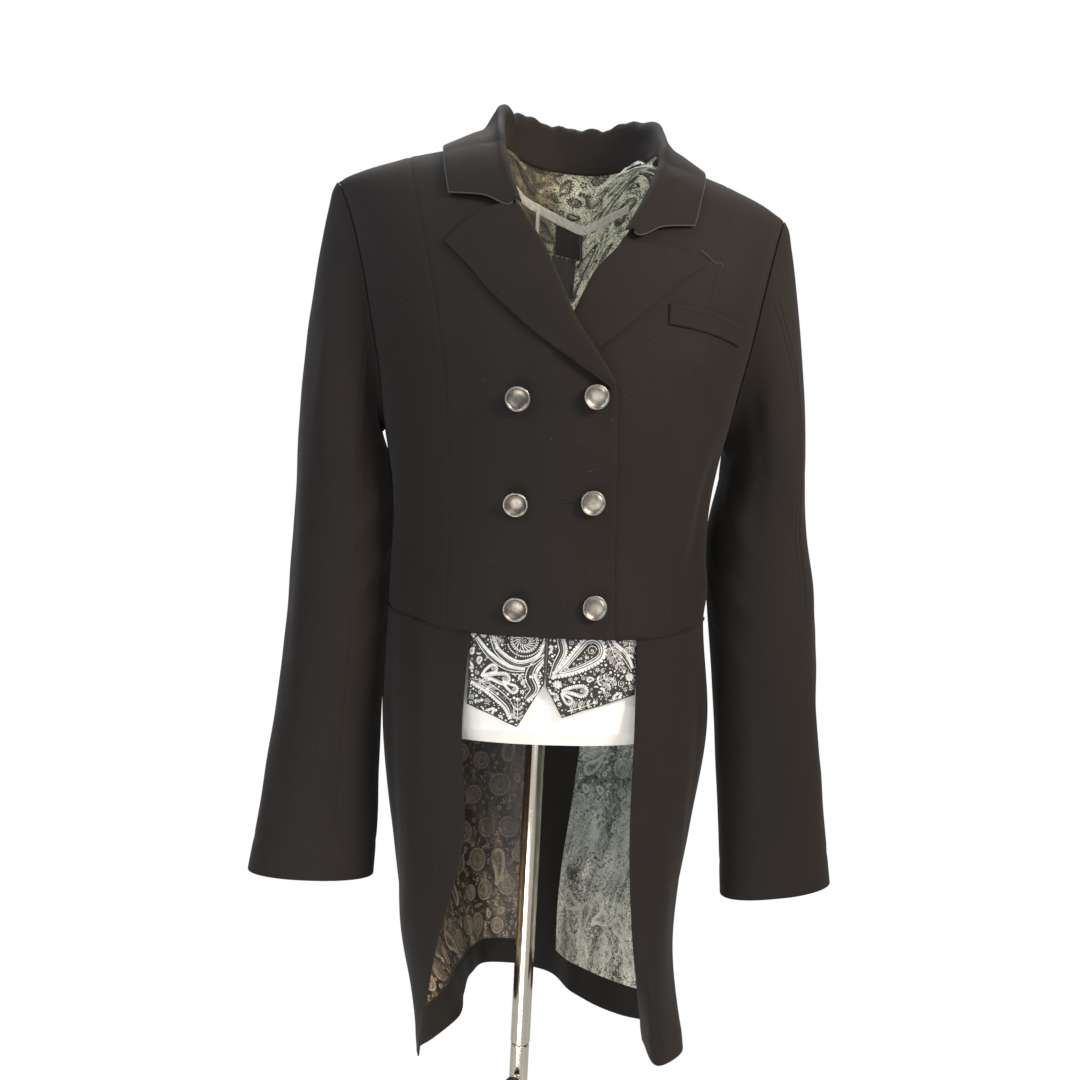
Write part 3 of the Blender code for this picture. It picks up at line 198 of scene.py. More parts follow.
# hanger ribbon inside the neck: x, z, how far in from the coat's outer face
RIBBON = [(-0.0440, 1.3520, 0.0080), (-0.0330, 1.3480, 0.0086), (-0.0130, 1.3410, 0.0098), (0.0100, 1.3330, 0.0112),
          (0.0300, 1.3270, 0.0118), (0.0430, 1.3320, 0.0112), (0.0560, 1.3390, 0.0098), (0.0670, 1.3440, 0.0086), (0.0740, 1.3475, 0.0080)]
# bare labels on the lining: name, slot, corners x, z, how far in
LABELS = [("main_label", "label_black", [(0.0035, 1.3290), (0.0300, 1.3220), (0.0335, 1.2960), (0.0050, 1.3010)], 0.0064),
          ("care_label", "label_grey", [(0.0020, 1.3000), (0.0270, 1.2960), (0.0260, 1.2580), (0.0040, 1.2600)], 0.0046)]
# buttons on the fronts: name, x, z, droop in degrees
BUTTONS = [("button_1_right", -0.0420, 1.1360, 14), ("button_1_left", 0.0230, 1.1403, 3),
           ("button_2_right", -0.0388, 1.0476, 16), ("button_2_left", 0.0258, 1.0513, 2),
           ("button_3_right", -0.0345, 0.9577, 15), ("button_3_left", 0.0323, 0.9611, 3)]
# chest pocket welt on the left front: x, upper z, lower z
WELT = [(0.0850, 1.2262, 1.2076), (0.0980, 1.2254, 1.2066), (0.1110, 1.2244, 1.2054), (0.1240, 1.2226, 1.2036),
        (0.1370, 1.2202, 1.2012), (0.1490, 1.2172, 1.1985), (0.1560, 1.2150, 1.1966)]


# ------------------------------------------------------------------ curves and the body surface
def sstep(a, b, x):
    t = np.clip((np.asarray(x, float) - a) / (b - a), 0.0, 1.0)
    return t * t * (3 - 2 * t)


def spline(ts, vs, t):
    """Catmull-Rom curve through the rows of vs at the stations ts."""
    ts, vs = np.asarray(ts, float), np.asarray(vs, float)
    one = vs.ndim == 1
    if one:
        vs = vs[:, None]
    t = np.asarray(t, float)
    shape = t.shape
    t = t.ravel()
    i = np.clip(np.searchsorted(ts, t, side="right") - 1, 0, len(ts) - 2)
    h = np.diff(ts)
    d = np.diff(vs, axis=0) / h[:, None]
    m = np.empty_like(vs)
    m[0], m[-1] = d[0], d[-1]
    if len(ts) > 2:
        w = (h[1:] / (h[:-1] + h[1:]))[:, None]
        m[1:-1] = d[:-1] * w + d[1:] * (1 - w)
    hh = h[i][:, None]
    u = np.clip((t - ts[i]) / h[i], 0, 1)[:, None]
    r = ((2 * u**3 - 3 * u**2 + 1) * vs[i] + (u**3 - 2 * u**2 + u) * hh * m[i]
         + (-2 * u**3 + 3 * u**2) * vs[i + 1] + (u**3 - u**2) * hh * m[i + 1])
    r = r.reshape(shape + (vs.shape[1],))
    return r[..., 0] if one else r


def quarter(power, aspect, n=400):
    """A quarter of a superellipse by even arc length: share, sine part, cosine part."""
    a = np.linspace(0, np.pi / 2, n)
    s, c = np.sin(a) ** (2 / power), np.cos(a) ** (2 / power)
    s[-1], c[-1] = 1.0, 0.0
    length = np.r_[0, np.cumsum(np.hypot(np.diff(s) * aspect, np.diff(c)))]
    return length / length[-1], s, c


RING = quarter(RING_POWER, 1.3)
DOME = quarter(DOME_POWER, 1.4)


def wrap(psi):
    return (np.asarray(psi, float) + 2.0) % 4.0 - 2.0


def waist_z(psi):
    p = np.abs(wrap(psi))
    return 0.9335 + 0.0175 * sstep(0.25, 1.05, p) + 0.006 * sstep(1.0, 2.0, p)


def ring_parts(psi):
    """psi: 0 centre front, +1 the coat's left side, -1 its right side, 2 centre back."""
    psi = wrap(psi)
    p = np.abs(psi)
    q = np.where(p <= 1, p, 2 - p)
    s, c = np.interp(q, RING[0], RING[1]), np.interp(q, RING[0], RING[2])
    return np.sign(psi) * s, np.where(p <= 1, c, -c)


def ridge_z(x):
    return spline(SHOULDER[:, 0], SHOULDER[:, 1], np.abs(x - CX)) - TILT * (x - CX)


def shell(psi, s, rows=BODY, drop=0.0, foot=waist_z):
    """A point of the body: psi round it, s from 0 at the waist to 1 on the shoulder line."""
    psi, s = np.broadcast_arrays(np.asarray(psi, float), np.asarray(s, float))
    u, c = ring_parts(psi)
    zw = foot(psi)
    low = s <= S_CHEST
    z = zw + (Z_CHEST - zw) * np.clip(s / S_CHEST, None, 1)
    tau = np.clip((s - S_CHEST) / (1 - S_CHEST), 0, 1)
    t, g = np.interp(tau, DOME[0], DOME[1]), np.interp(tau, DOME[0], DOME[2])
    zt = z
    for _ in range(4):
        x = CX + u * spline(rows[:, 0], rows[:, 1], zt)
        top = ridge_z(x) - drop
        zt = np.where(low, z, Z_CHEST + (top - Z_CHEST) * t)
    x = CX + u * spline(rows[:, 0], rows[:, 1], zt)
    g = np.where(low, 1.0, g)
    depth = np.where(c > 0, spline(rows[:, 0], rows[:, 2], zt), spline(rows[:, 0], rows[:, 3], zt))
    return np.stack([x, -depth * c * g, zt], -1)


def body(psi, s, d=0.0):
    """The coat's outer surface, moved out by d."""
    e = 2e-3
    psi, s = np.broadcast_arrays(np.asarray(psi, float), np.asarray(s, float))
    a = shell(psi + e, s) - shell(psi - e, s)
    b = shell(psi, np.clip(s + e, 0, 1)) - shell(psi, np.clip(s - e, 0, 1))
    n = np.cross(a, b)
    n /= np.maximum(np.linalg.norm(n, axis=-1, keepdims=True), 1e-12)
    return shell(psi, s) + n * np.asarray(d, float)[..., None]


def front_y(x, z):
    u = np.clip(np.abs((x - CX) / spline(BODY[:, 0], BODY[:, 1], z)), 0, 1)
    c = (1 - u ** RING_POWER) ** (1 / RING_POWER)
    top = ridge_z(x)
    t = np.clip((z - Z_CHEST) / (top - Z_CHEST), 0, 1)
    return -spline(BODY[:, 0], BODY[:, 2], z) * c * (1 - t ** DOME_POWER) ** (1 / DOME_POWER)


def front(x, z, d=0.0):
    """The front by x and z, moved out by d."""
    e = 1e-3
    x, z = np.broadcast_arrays(np.asarray(x, float), np.asarray(z, float))
    gx = (front_y(x + e, z) - front_y(x - e, z)) / (2 * e)
    gz = (front_y(x, z + e) - front_y(x, z - e)) / (2 * e)
    n = np.stack([gx, -np.ones_like(gx), gz], -1)
    n /= np.linalg.norm(n, axis=-1, keepdims=True)
    return np.stack([x, front_y(x, z), z], -1) + n * np.asarray(d, float)[..., None]


def psi_s(x, z):
    """Where a front point lies: psi and s."""
    x, z = np.asarray(x, float), np.asarray(z, float)
    u = np.clip((x - CX) / spline(BODY[:, 0], BODY[:, 1], z), -1, 1)
    p = np.sign(u) * np.interp(np.abs(u), RING[1], RING[0])
    zw = waist_z(p)
    top = ridge_z(x)
    tau = np.interp(np.clip((z - Z_CHEST) / (top - Z_CHEST), 0, 1), DOME[1], DOME[0])
    return p, np.where(z <= Z_CHEST, (z - zw) / (Z_CHEST - zw) * S_CHEST, S_CHEST + tau * (1 - S_CHEST))


def edge_psi(table, s):
    """psi of an edge curve, given as x, z rows, at the heights s."""
    rows = np.array(table, float)
    p, q = psi_s(rows[:, 0], rows[:, 1])
    q[0], q[-1] = min(q[0], 0.0), max(q[-1], 1.0)
    return spline(q, p, s)


def princess_psi(side, s):
    return edge_psi([(CX + side * x, z) for x, z in PRINCESS], s)


S_UNDERARM = float((UNDERARM_Z - 0.951) / (Z_CHEST - 0.951) * S_CHEST)


def armhole_psi(side, s, back=False):
    """The armhole: side seam up to the underarm, then scooped to the shoulder tip."""
    q = np.clip((np.asarray(s, float) - S_UNDERARM) / (1 - S_UNDERARM), 0, 1)
    c = (ARMHOLE_BACK if back else ARMHOLE_FRONT) * np.sin(np.pi * q ** 0.72) ** 0.75
    q0 = 1 - np.interp(c, RING[2][::-1], 1 - RING[0][::-1])
    return side * (2 - q0 if back else q0)


def grid_normals(p, u=None, v=None):
    """Normals of a grid of points; u and v give the spacing of its rows and columns."""
    a = np.gradient(p, axis=1) if v is None else np.gradient(p, v, axis=1)
    b = np.gradient(p, axis=0) if u is None else np.gradient(p, u, axis=0)
    n = np.cross(a, b)
    return n / np.maximum(np.linalg.norm(n, axis=-1, keepdims=True), 1e-12)


# ------------------------------------------------------------------ distance to the body
def body_gap(p):
    """Distance of points above the coat's body (chest and up), and the outward direction."""
    def level(q):
        x, y, z = q[..., 0], q[..., 1], q[..., 2]
        u = np.clip(np.abs((x - CX) / spline(BODY[:, 0], BODY[:, 1], z)), 0, 0.999)
        c = (1 - u ** RING_POWER) ** (1 / RING_POWER)
        deep = np.where(y < 0, spline(BODY[:, 0], BODY[:, 2], z), spline(BODY[:, 0], BODY[:, 3], z)) * c
        t = np.clip((z - Z_CHEST) / (ridge_z(x) - Z_CHEST), 0, None)
        return ((np.abs(y) / deep) ** DOME_POWER + t ** DOME_POWER) ** (1 / DOME_POWER)
    e = 1e-4
    g = np.stack([(level(p + d) - level(p - d)) / (2 * e) for d in np.eye(3) * e], -1)
    size = np.maximum(np.linalg.norm(g, axis=-1), 1e-9)
    return (level(p) - 1) / size, g / size[..., None]


def keep_off(p, low, high=None):
    """Move points along the body's normal until they stand between low and high above it."""
    for _ in range(4):
        d, n = body_gap(p)
        want = np.maximum(d, low)
        if high is not None:
            want = np.minimum(want, high)
        p = p + n * (want - d)[..., None]
    return p


# ------------------------------------------------------------------ body panels
def over_right(x, z):
    """How far the right front stands out, where it laps over the left front and its lapel."""
    lap = 0.0024 * sstep(-0.105, -0.050, x) + 0.0028 * sstep(-0.048, -0.018, x) * sstep(1.120, 1.160, z)
    return lap * (1 - sstep(1.225, 1.262, z))


def half_clamp(p, sign):
    """Keep a front (sign -1) or a back (sign 1) on its own side of the shoulder and side seams."""
    p = p.copy()
    p[..., 1] = np.minimum(p[..., 1], -SEAM / 2) if sign < 0 else np.maximum(p[..., 1], SEAM / 2)
    return p


WAIST_GAP = 0.0012


def tail_columns(side):
    """Eight columns of points from the waist seam to the hem."""
    rows = TAIL_R if side < 0 else TAIL_L
    hem = HEM_R if side < 0 else HEM_L
    f = float(psi_s(np.array(CX + side * TAIL_FRONT_X[0 if side < 0 else 1]), np.array(0.936))[0])
    psi = f + (side * 2.0 - f) * np.array([0, 0.165, 0.33, 0.495, 0.66, 0.825, 0.925, 1.0])
    waist = shell(psi, np.zeros(8))
    if side < 0:                                     # the underlap reaches past the middle, inside the left tail
        waist[6, 1] -= 0.0042
        waist[7] = (0.018, waist[7, 1] - 0.0052, waist[7, 2])
    cols = []
    for k in range(8):
        pts = [tuple(waist[k])] + [(*row[1 + k], row[0]) for row in rows[:-1]] + [(*rows[-1][1 + k], hem[k])]
        cols.append(np.array(pts))
    return cols


def tail_grid(side, us, vs):
    """Rows from the waist seam to the hem, columns from the front edge to the centre back."""
    lines = []
    for c in tail_columns(side):
        ts = np.r_[0, np.cumsum(-np.diff(c[:, 2]))]
        lines.append(spline(ts, c, ts[-1] * np.asarray(us)))
    lines = np.stack(lines, 1)
    out = np.empty((len(us), len(vs), 3))
    for i, row in enumerate(lines):
        ts = np.r_[0, np.cumsum(np.linalg.norm(np.diff(row[:, :2], axis=0), axis=1))]
        fine = spline(ts, row, np.linspace(0, ts[-1], 300))
        length = np.r_[0, np.cumsum(np.linalg.norm(np.diff(fine, axis=0), axis=1))]
        out[i] = np.stack([np.interp(length[-1] * vs, length, fine[:, q]) for q in range(3)], -1)
    # the first row follows the waist seam
    x0 = out[0, :, 0]
    u = np.clip((x0 - CX) / spline(BODY[:, 0], BODY[:, 1], out[0, :, 2]), -1, 1)
    q = np.interp(np.abs(u), RING[1], RING[0])
    psi = np.where(out[0, :, 1] <= 0, q, 2 - q)
    out[0, :, 2] = waist_z(psi) - WAIST_GAP / 2
    return out


def outward(p, u, v):
    n = grid_normals(p, u, v)
    k = len(p[0]) // 2
    return n if np.sum(n[2, k] * (p[2, k] - np.array([0, 0, p[2, k, 2]]))) > 0 else -n


def armhole_loop(side):
    """The armhole from the shoulder tip down the front, and up the back, by share of its length."""
    s = np.linspace(1, S_UNDERARM, 120)
    f = shell(armhole_psi(side, s), s)
    b = shell(armhole_psi(side, s[::-1], back=True), s[::-1])
    loop = np.concatenate([f, b[1:]])
    length = np.r_[0, np.cumsum(np.linalg.norm(np.diff(loop, axis=0), axis=1))]
    return lambda th: np.stack([np.interp(np.asarray(th) * length[-1], length, loop[:, k]) for k in range(3)], -1)


def sleeve_ring(row, side, th):
    """th 0 outer side, 0.25 front, 0.5 inner side, 0.75 back."""
    z, xo, xi, my, hy, rise = row
    a = 2 * np.pi * np.asarray(th)
    c, s = np.cos(a), np.sin(a)
    x = (xo + xi) / 2 + side * abs(xo - xi) / 2 * np.sign(c) * np.abs(c) ** 0.92
    y = my - hy * np.sign(s) * np.abs(s) ** 0.92
    return np.stack([x, y, z + rise * c], -1)


def sleeve_grid(side, th, caps, downs):
    rows = np.array(SLEEVE_R if side < 0 else SLEEVE_L)
    th = np.asarray(th, float)
    a = armhole_loop(side)(th % 1.0)
    first = sleeve_ring(rows[0], side, th)
    out, rise = np.array([side, 0, 0.0]), np.array([0, 0, 1.0])
    a = a + out * 0.0012
    fall = (a - first)[:, 2:3]
    b1 = a + out * (0.011 if side < 0 else 0.013) - rise * 0.09 * fall
    b2 = first + rise * 0.42 * fall
    t = np.asarray(caps)[:, None, None]
    cap = (1 - t) ** 3 * a + 3 * (1 - t) ** 2 * t * b1 + 3 * (1 - t) * t**2 * b2 + t**3 * first
    rr = spline(rows[0, 0] - rows[:, 0], rows, (rows[0, 0] - rows[-1, 0]) * np.asarray(downs))
    return np.concatenate([cap, np.stack([sleeve_ring(r, side, th) for r in rr])])


def inside(x, z, d):
    """Inside of the back by x and z, d in from the outer face."""
    x, z = np.asarray(x, float), np.asarray(z, float)
    p, s = psi_s(x, z)
    return body(np.where(p < 0, -2 - p, 2 - p), s, -np.asarray(d, float))




# ------------------------------------------------------------------ materials
class Nodes:
    """A material being wired: short calls for the few nodes used here."""

    def __init__(self, name):
        self.m = bpy.data.materials.new(name)
        self.m.use_nodes = True
        self.t = self.m.node_tree
        self.b = self.t.nodes["Principled BSDF"]

    def new(self, kind, **props):
        n = self.t.nodes.new(kind)
        for k, v in props.items():
            setattr(n, k, v)
        return n

    def put(self, socket, value):
        if isinstance(value, bpy.types.NodeSocket):
            self.t.links.new(value, socket)
        else:
            socket.default_value = value

    def set(self, **values):
        for k, v in values.items():
            self.put(self.b.inputs[k.replace("_", " ")], v)

    def math(self, op, a, b=None, clamp=False):
        n = self.new("ShaderNodeMath", operation=op, use_clamp=clamp)
        self.put(n.inputs[0], a)
        if b is not None:
            self.put(n.inputs[1], b)
        return n.outputs[0]

    def uv(self):
        return self.new("ShaderNodeTexCoord").outputs["UV"]

    def place(self):
        return self.new("ShaderNodeTexCoord").outputs["Object"]

    def wave(self, vector, direction, period):
        """Sine bands across a direction, 0 to 1."""
        n = self.new("ShaderNodeVectorMath", operation="DOT_PRODUCT")
        self.put(n.inputs[0], vector)
        k = 2 * math.pi / period / math.hypot(*direction)
        n.inputs[1].default_value = tuple(q * k for q in direction)
        s = self.math("SINE", n.outputs["Value"])
        return self.math("ADD", self.math("MULTIPLY", s, 0.5), 0.5)

    def noise(self, vector, scale, detail=3.0, rough=0.55, distort=0.0):
        n = self.new("ShaderNodeTexNoise")
        self.put(n.inputs["Vector"], vector)
        n.inputs["Scale"].default_value = scale
        n.inputs["Detail"].default_value = detail
        n.inputs["Roughness"].default_value = rough
        n.inputs["Distortion"].default_value = distort
        return n.outputs["Fac"]

    def stretch(self, vector, scale):
        n = self.new("ShaderNodeMapping")
        self.put(n.inputs["Vector"], vector)
        n.inputs["Scale"].default_value = scale
        return n.outputs[0]

    def ramp(self, fac, *stops):
        n = self.new("ShaderNodeValToRGB")
        self.put(n.inputs[0], fac)
        e = n.color_ramp.elements
        while len(e) < len(stops):
            e.new(0.5)
        for q, (p, c) in zip(e, stops):
            q.position = p
            q.color = (*c, 1)
        return n.outputs["Color"]

    def span(self, fac, lo, hi, a=0.0, b=1.0):
        n = self.new("ShaderNodeMapRange")
        self.put(n.inputs["Value"], fac)
        for k, v in zip(("From Min", "From Max", "To Min", "To Max"), (a, b, lo, hi)):
            n.inputs[k].default_value = v
        return n.outputs["Result"]

    def mix(self, fac, a, b, blend="MIX"):
        n = self.new("ShaderNodeMix", data_type="RGBA", blend_type=blend)
        self.put(n.inputs["Factor"], fac)
        for s, v in ((n.inputs[6], a), (n.inputs[7], b)):
            self.put(s, v if isinstance(v, bpy.types.NodeSocket) else (*v, 1))
        return n.outputs[2]

    def bump(self, height, distance, strength=1.0):
        n = self.new("ShaderNodeBump")
        self.put(n.inputs["Height"], height)
        n.inputs["Distance"].default_value = distance
        n.inputs["Strength"].default_value = strength
        self.put(self.b.inputs["Normal"], n.outputs[0])


def wool(name, dark, light, gloss=0.20):
    """Fine twill: 0.9 mm wales, slight slubs, a little lint, a soft worn bloom."""
    k = Nodes(name)
    uv = k.uv()
    wale = k.wave(uv, (1.0, 1.0, 0.0), 0.0009)
    yarn = k.wave(uv, (0.0, 1.0, 0.0), 0.00047)
    slub = k.noise(k.stretch(uv, (900.0, 260.0, 1.0)), 1.0, 2.0)
    grain = k.noise(k.stretch(uv, (640.0, 640.0, 1.0)), 1.0, 2.0, 0.7)
    cloud = k.noise(k.stretch(uv, (16.0, 9.0, 1.0)), 1.0, 3.0)
    tone = k.math("ADD", k.math("MULTIPLY", grain, 0.55), k.math("MULTIPLY", cloud, 0.45))
    tone = k.math("ADD", tone, k.math("MULTIPLY", k.math("SUBTRACT", wale, 0.5), 0.22))
    base = k.ramp(tone, (0.22, dark), (0.78, light))
    lint = k.math("GREATER_THAN", k.noise(k.stretch(uv, (310.0, 310.0, 1.0)), 1.0, 1.0), 0.775)
    base = k.mix(k.math("MULTIPLY", lint, 0.35), base, (0.085, 0.082, 0.08))
    rough = k.span(k.math("ADD", k.math("MULTIPLY", cloud, 0.6), k.math("MULTIPLY", slub, 0.4)), 0.60, 0.82)
    k.set(Base_Color=base, Roughness=rough, Specular_IOR_Level=gloss, Sheen_Weight=0.10, Sheen_Roughness=0.42,
          Sheen_Tint=(0.62, 0.60, 0.60, 1))
    h = k.math("ADD", k.math("MULTIPLY", wale, 0.6), k.math("ADD", k.math("MULTIPLY", yarn, 0.25), k.math("MULTIPLY", grain, 0.8)))
    k.bump(h, 0.00016, 0.55)
    return k.m


def satin(name, dark, light, fine=0.0006, rough=(0.30, 0.52), sheen=0.15, gleam=0.5, leafy=0.0, span=(0.24, 0.76), shade_zones=None, cell=(46.0, 30.0)):
    """Jacquard ground: fine ribs, soft clouds of lighter and darker tone and small leafy figure; the clouds are painted
    sheen, and where cell stretches them into streaks, painted fold shade.
    """
    k = Nodes(name)
    uv = k.uv()
    rib = k.wave(uv, (1.0, 0.12, 0.0), fine)
    rib2 = k.wave(uv, (0.1, 1.0, 0.0), fine * 1.7)
    # cloud: patches of painted sheen, and painted fold shade where cell stretches it into streaks
    cloud = k.noise(k.stretch(uv, (*cell, 1.0)), 1.0, 4.0, 0.62, 0.8)
    small = k.noise(k.stretch(uv, (190.0, 190.0, 1.0)), 1.0, 3.0, 0.6, 2.6)
    leaf = k.math("SUBTRACT", 1.0, k.math("MULTIPLY", k.math("ABSOLUTE", k.math("SUBTRACT", small, 0.5)), 9.0), clamp=True)
    tone = k.math("ADD", k.math("MULTIPLY", cloud, 0.72), k.math("MULTIPLY", leaf, leafy))
    tone = k.math("ADD", tone, k.math("MULTIPLY", k.math("SUBTRACT", rib, 0.5), 0.10))
    base = k.ramp(tone, (span[0], dark), (span[1], light))
    if shade_zones is not None:
        base = k.mix(1.0, base, shade(k, shade_zones), "MULTIPLY")
    k.set(Base_Color=base, Roughness=k.span(cloud, rough[1], rough[0]), Specular_IOR_Level=gleam,
          Sheen_Weight=sheen, Sheen_Roughness=0.35, Sheen_Tint=(0.8, 0.8, 0.78, 1))
    k.bump(k.math("ADD", k.math("MULTIPLY", rib, 0.5), k.math("ADD", k.math("MULTIPLY", rib2, 0.3), k.math("MULTIPLY", leaf, 0.5))), 0.00012, 0.6)
    return k.m


def shade(k, shade_zones):
    """Painted shade along one axis of the object, its edge made uneven by noise: axis, wobble, then place and colour
    pairs.
    """
    axis, wobble, stops = shade_zones
    p = k.place()
    n = k.new("ShaderNodeSeparateXYZ")
    k.put(n.inputs[0], p)
    lo, hi = stops[0][0], stops[-1][0]
    q = k.math("ADD", n.outputs[axis], k.math("MULTIPLY", k.math("SUBTRACT", k.noise(p, 26.0, 3.0, 0.6, 0.6), 0.5), wobble))
    return k.ramp(k.span(q, 0.0, 1.0, lo, hi), *(((a - lo) / (hi - lo), c) for a, c in stops))


def figure(name, dark, light, rough=0.34, metal=0.0, shade_zones=None, cell=None):
    """Raised brocade thread: short floats side by side."""
    k = Nodes(name)
    uv = k.uv()
    float_ = k.wave(uv, (1.0, 0.35, 0.0), 0.00055)
    vary = k.noise(k.stretch(uv, (260.0, 260.0, 1.0)), 1.0, 3.0)
    tone = k.math("ADD", k.math("MULTIPLY", vary, 0.75), k.math("MULTIPLY", float_, 0.25))
    # with cell, the figures take the lining's streaked cloud: painted sheen and painted fold shade
    if cell is not None:
        tone = k.math("ADD", k.math("MULTIPLY", tone, 0.35), k.math("MULTIPLY", k.noise(k.stretch(uv, (*cell, 1.0)), 1.0, 4.0, 0.62, 0.8), 0.65))
    base = k.ramp(tone, (0.30, dark), (0.72, light))
    if shade_zones is not None:
        base = k.mix(1.0, base, shade(k, shade_zones), "MULTIPLY")
    k.set(Base_Color=base, Roughness=k.span(vary, rough + 0.10, rough - 0.06), Metallic=metal, Specular_IOR_Level=0.55,
          Sheen_Weight=0.12, Sheen_Roughness=0.3)
    k.bump(k.math("ADD", float_, vary), 0.00012, 0.5)
    return k.m


def metal(name, dark, light, rough, brushed=(30.0, 30.0, 900.0), wear=0.5, depth=0.00003):
    k = Nodes(name)
    p = k.place()
    cloud = k.noise(p, 160.0, 4.0, 0.6)
    line = k.noise(k.stretch(p, brushed), 1.0, 3.0, 0.6)
    base = k.ramp(k.math("ADD", k.math("MULTIPLY", cloud, wear), k.math("MULTIPLY", line, 1 - wear)), (0.25, dark), (0.75, light))
    k.set(Base_Color=base, Metallic=1.0, Roughness=k.span(line, rough[0], rough[1]))
    k.bump(k.math("ADD", line, k.math("MULTIPLY", cloud, 0.5)), depth, 0.4)
    return k.m


def painted(name, dark, light, rough, spec=0.5):
    k = Nodes(name)
    p = k.place()
    cloud = k.noise(p, 14.0, 4.0, 0.6)
    orange = k.noise(p, 420.0, 2.0, 0.5)
    k.set(Base_Color=k.ramp(cloud, (0.3, dark), (0.7, light)), Roughness=k.span(orange, rough[0], rough[1]), Specular_IOR_Level=spec)
    k.bump(k.math("ADD", orange, k.math("MULTIPLY", cloud, 1.5)), 0.00010, 0.4)
    return k.m


# painted shade on the linings, multiplied into their colour: across the neck, down the two tails
NECK_PAINTED_SHADE = ("X", 0.020, ((-0.060, (0.44, 0.37, 0.28)), (-0.026, (0.19, 0.16, 0.12)), (-0.006, (0.36, 0.325, 0.255)), (0.012, (1.0, 1.0, 0.88)), (0.060, (0.92, 1.0, 0.92))))
TAIL_R_PAINTED_SHADE = ("Z", 0.060, ((0.560, (1.0, 0.92, 0.78)), (0.640, (0.80, 0.71, 0.59)), (0.720, (0.31, 0.262, 0.228)), (0.840, (0.22, 0.186, 0.17))))
TAIL_L_PAINTED_SHADE = ("Z", 0.070, ((0.590, (1.0, 0.985, 0.90)), (0.660, (0.95, 0.965, 0.91)), (0.700, (0.62, 0.675, 0.655)), (0.780, (0.58, 0.645, 0.63)), (0.850, (0.84, 0.92, 0.89))))
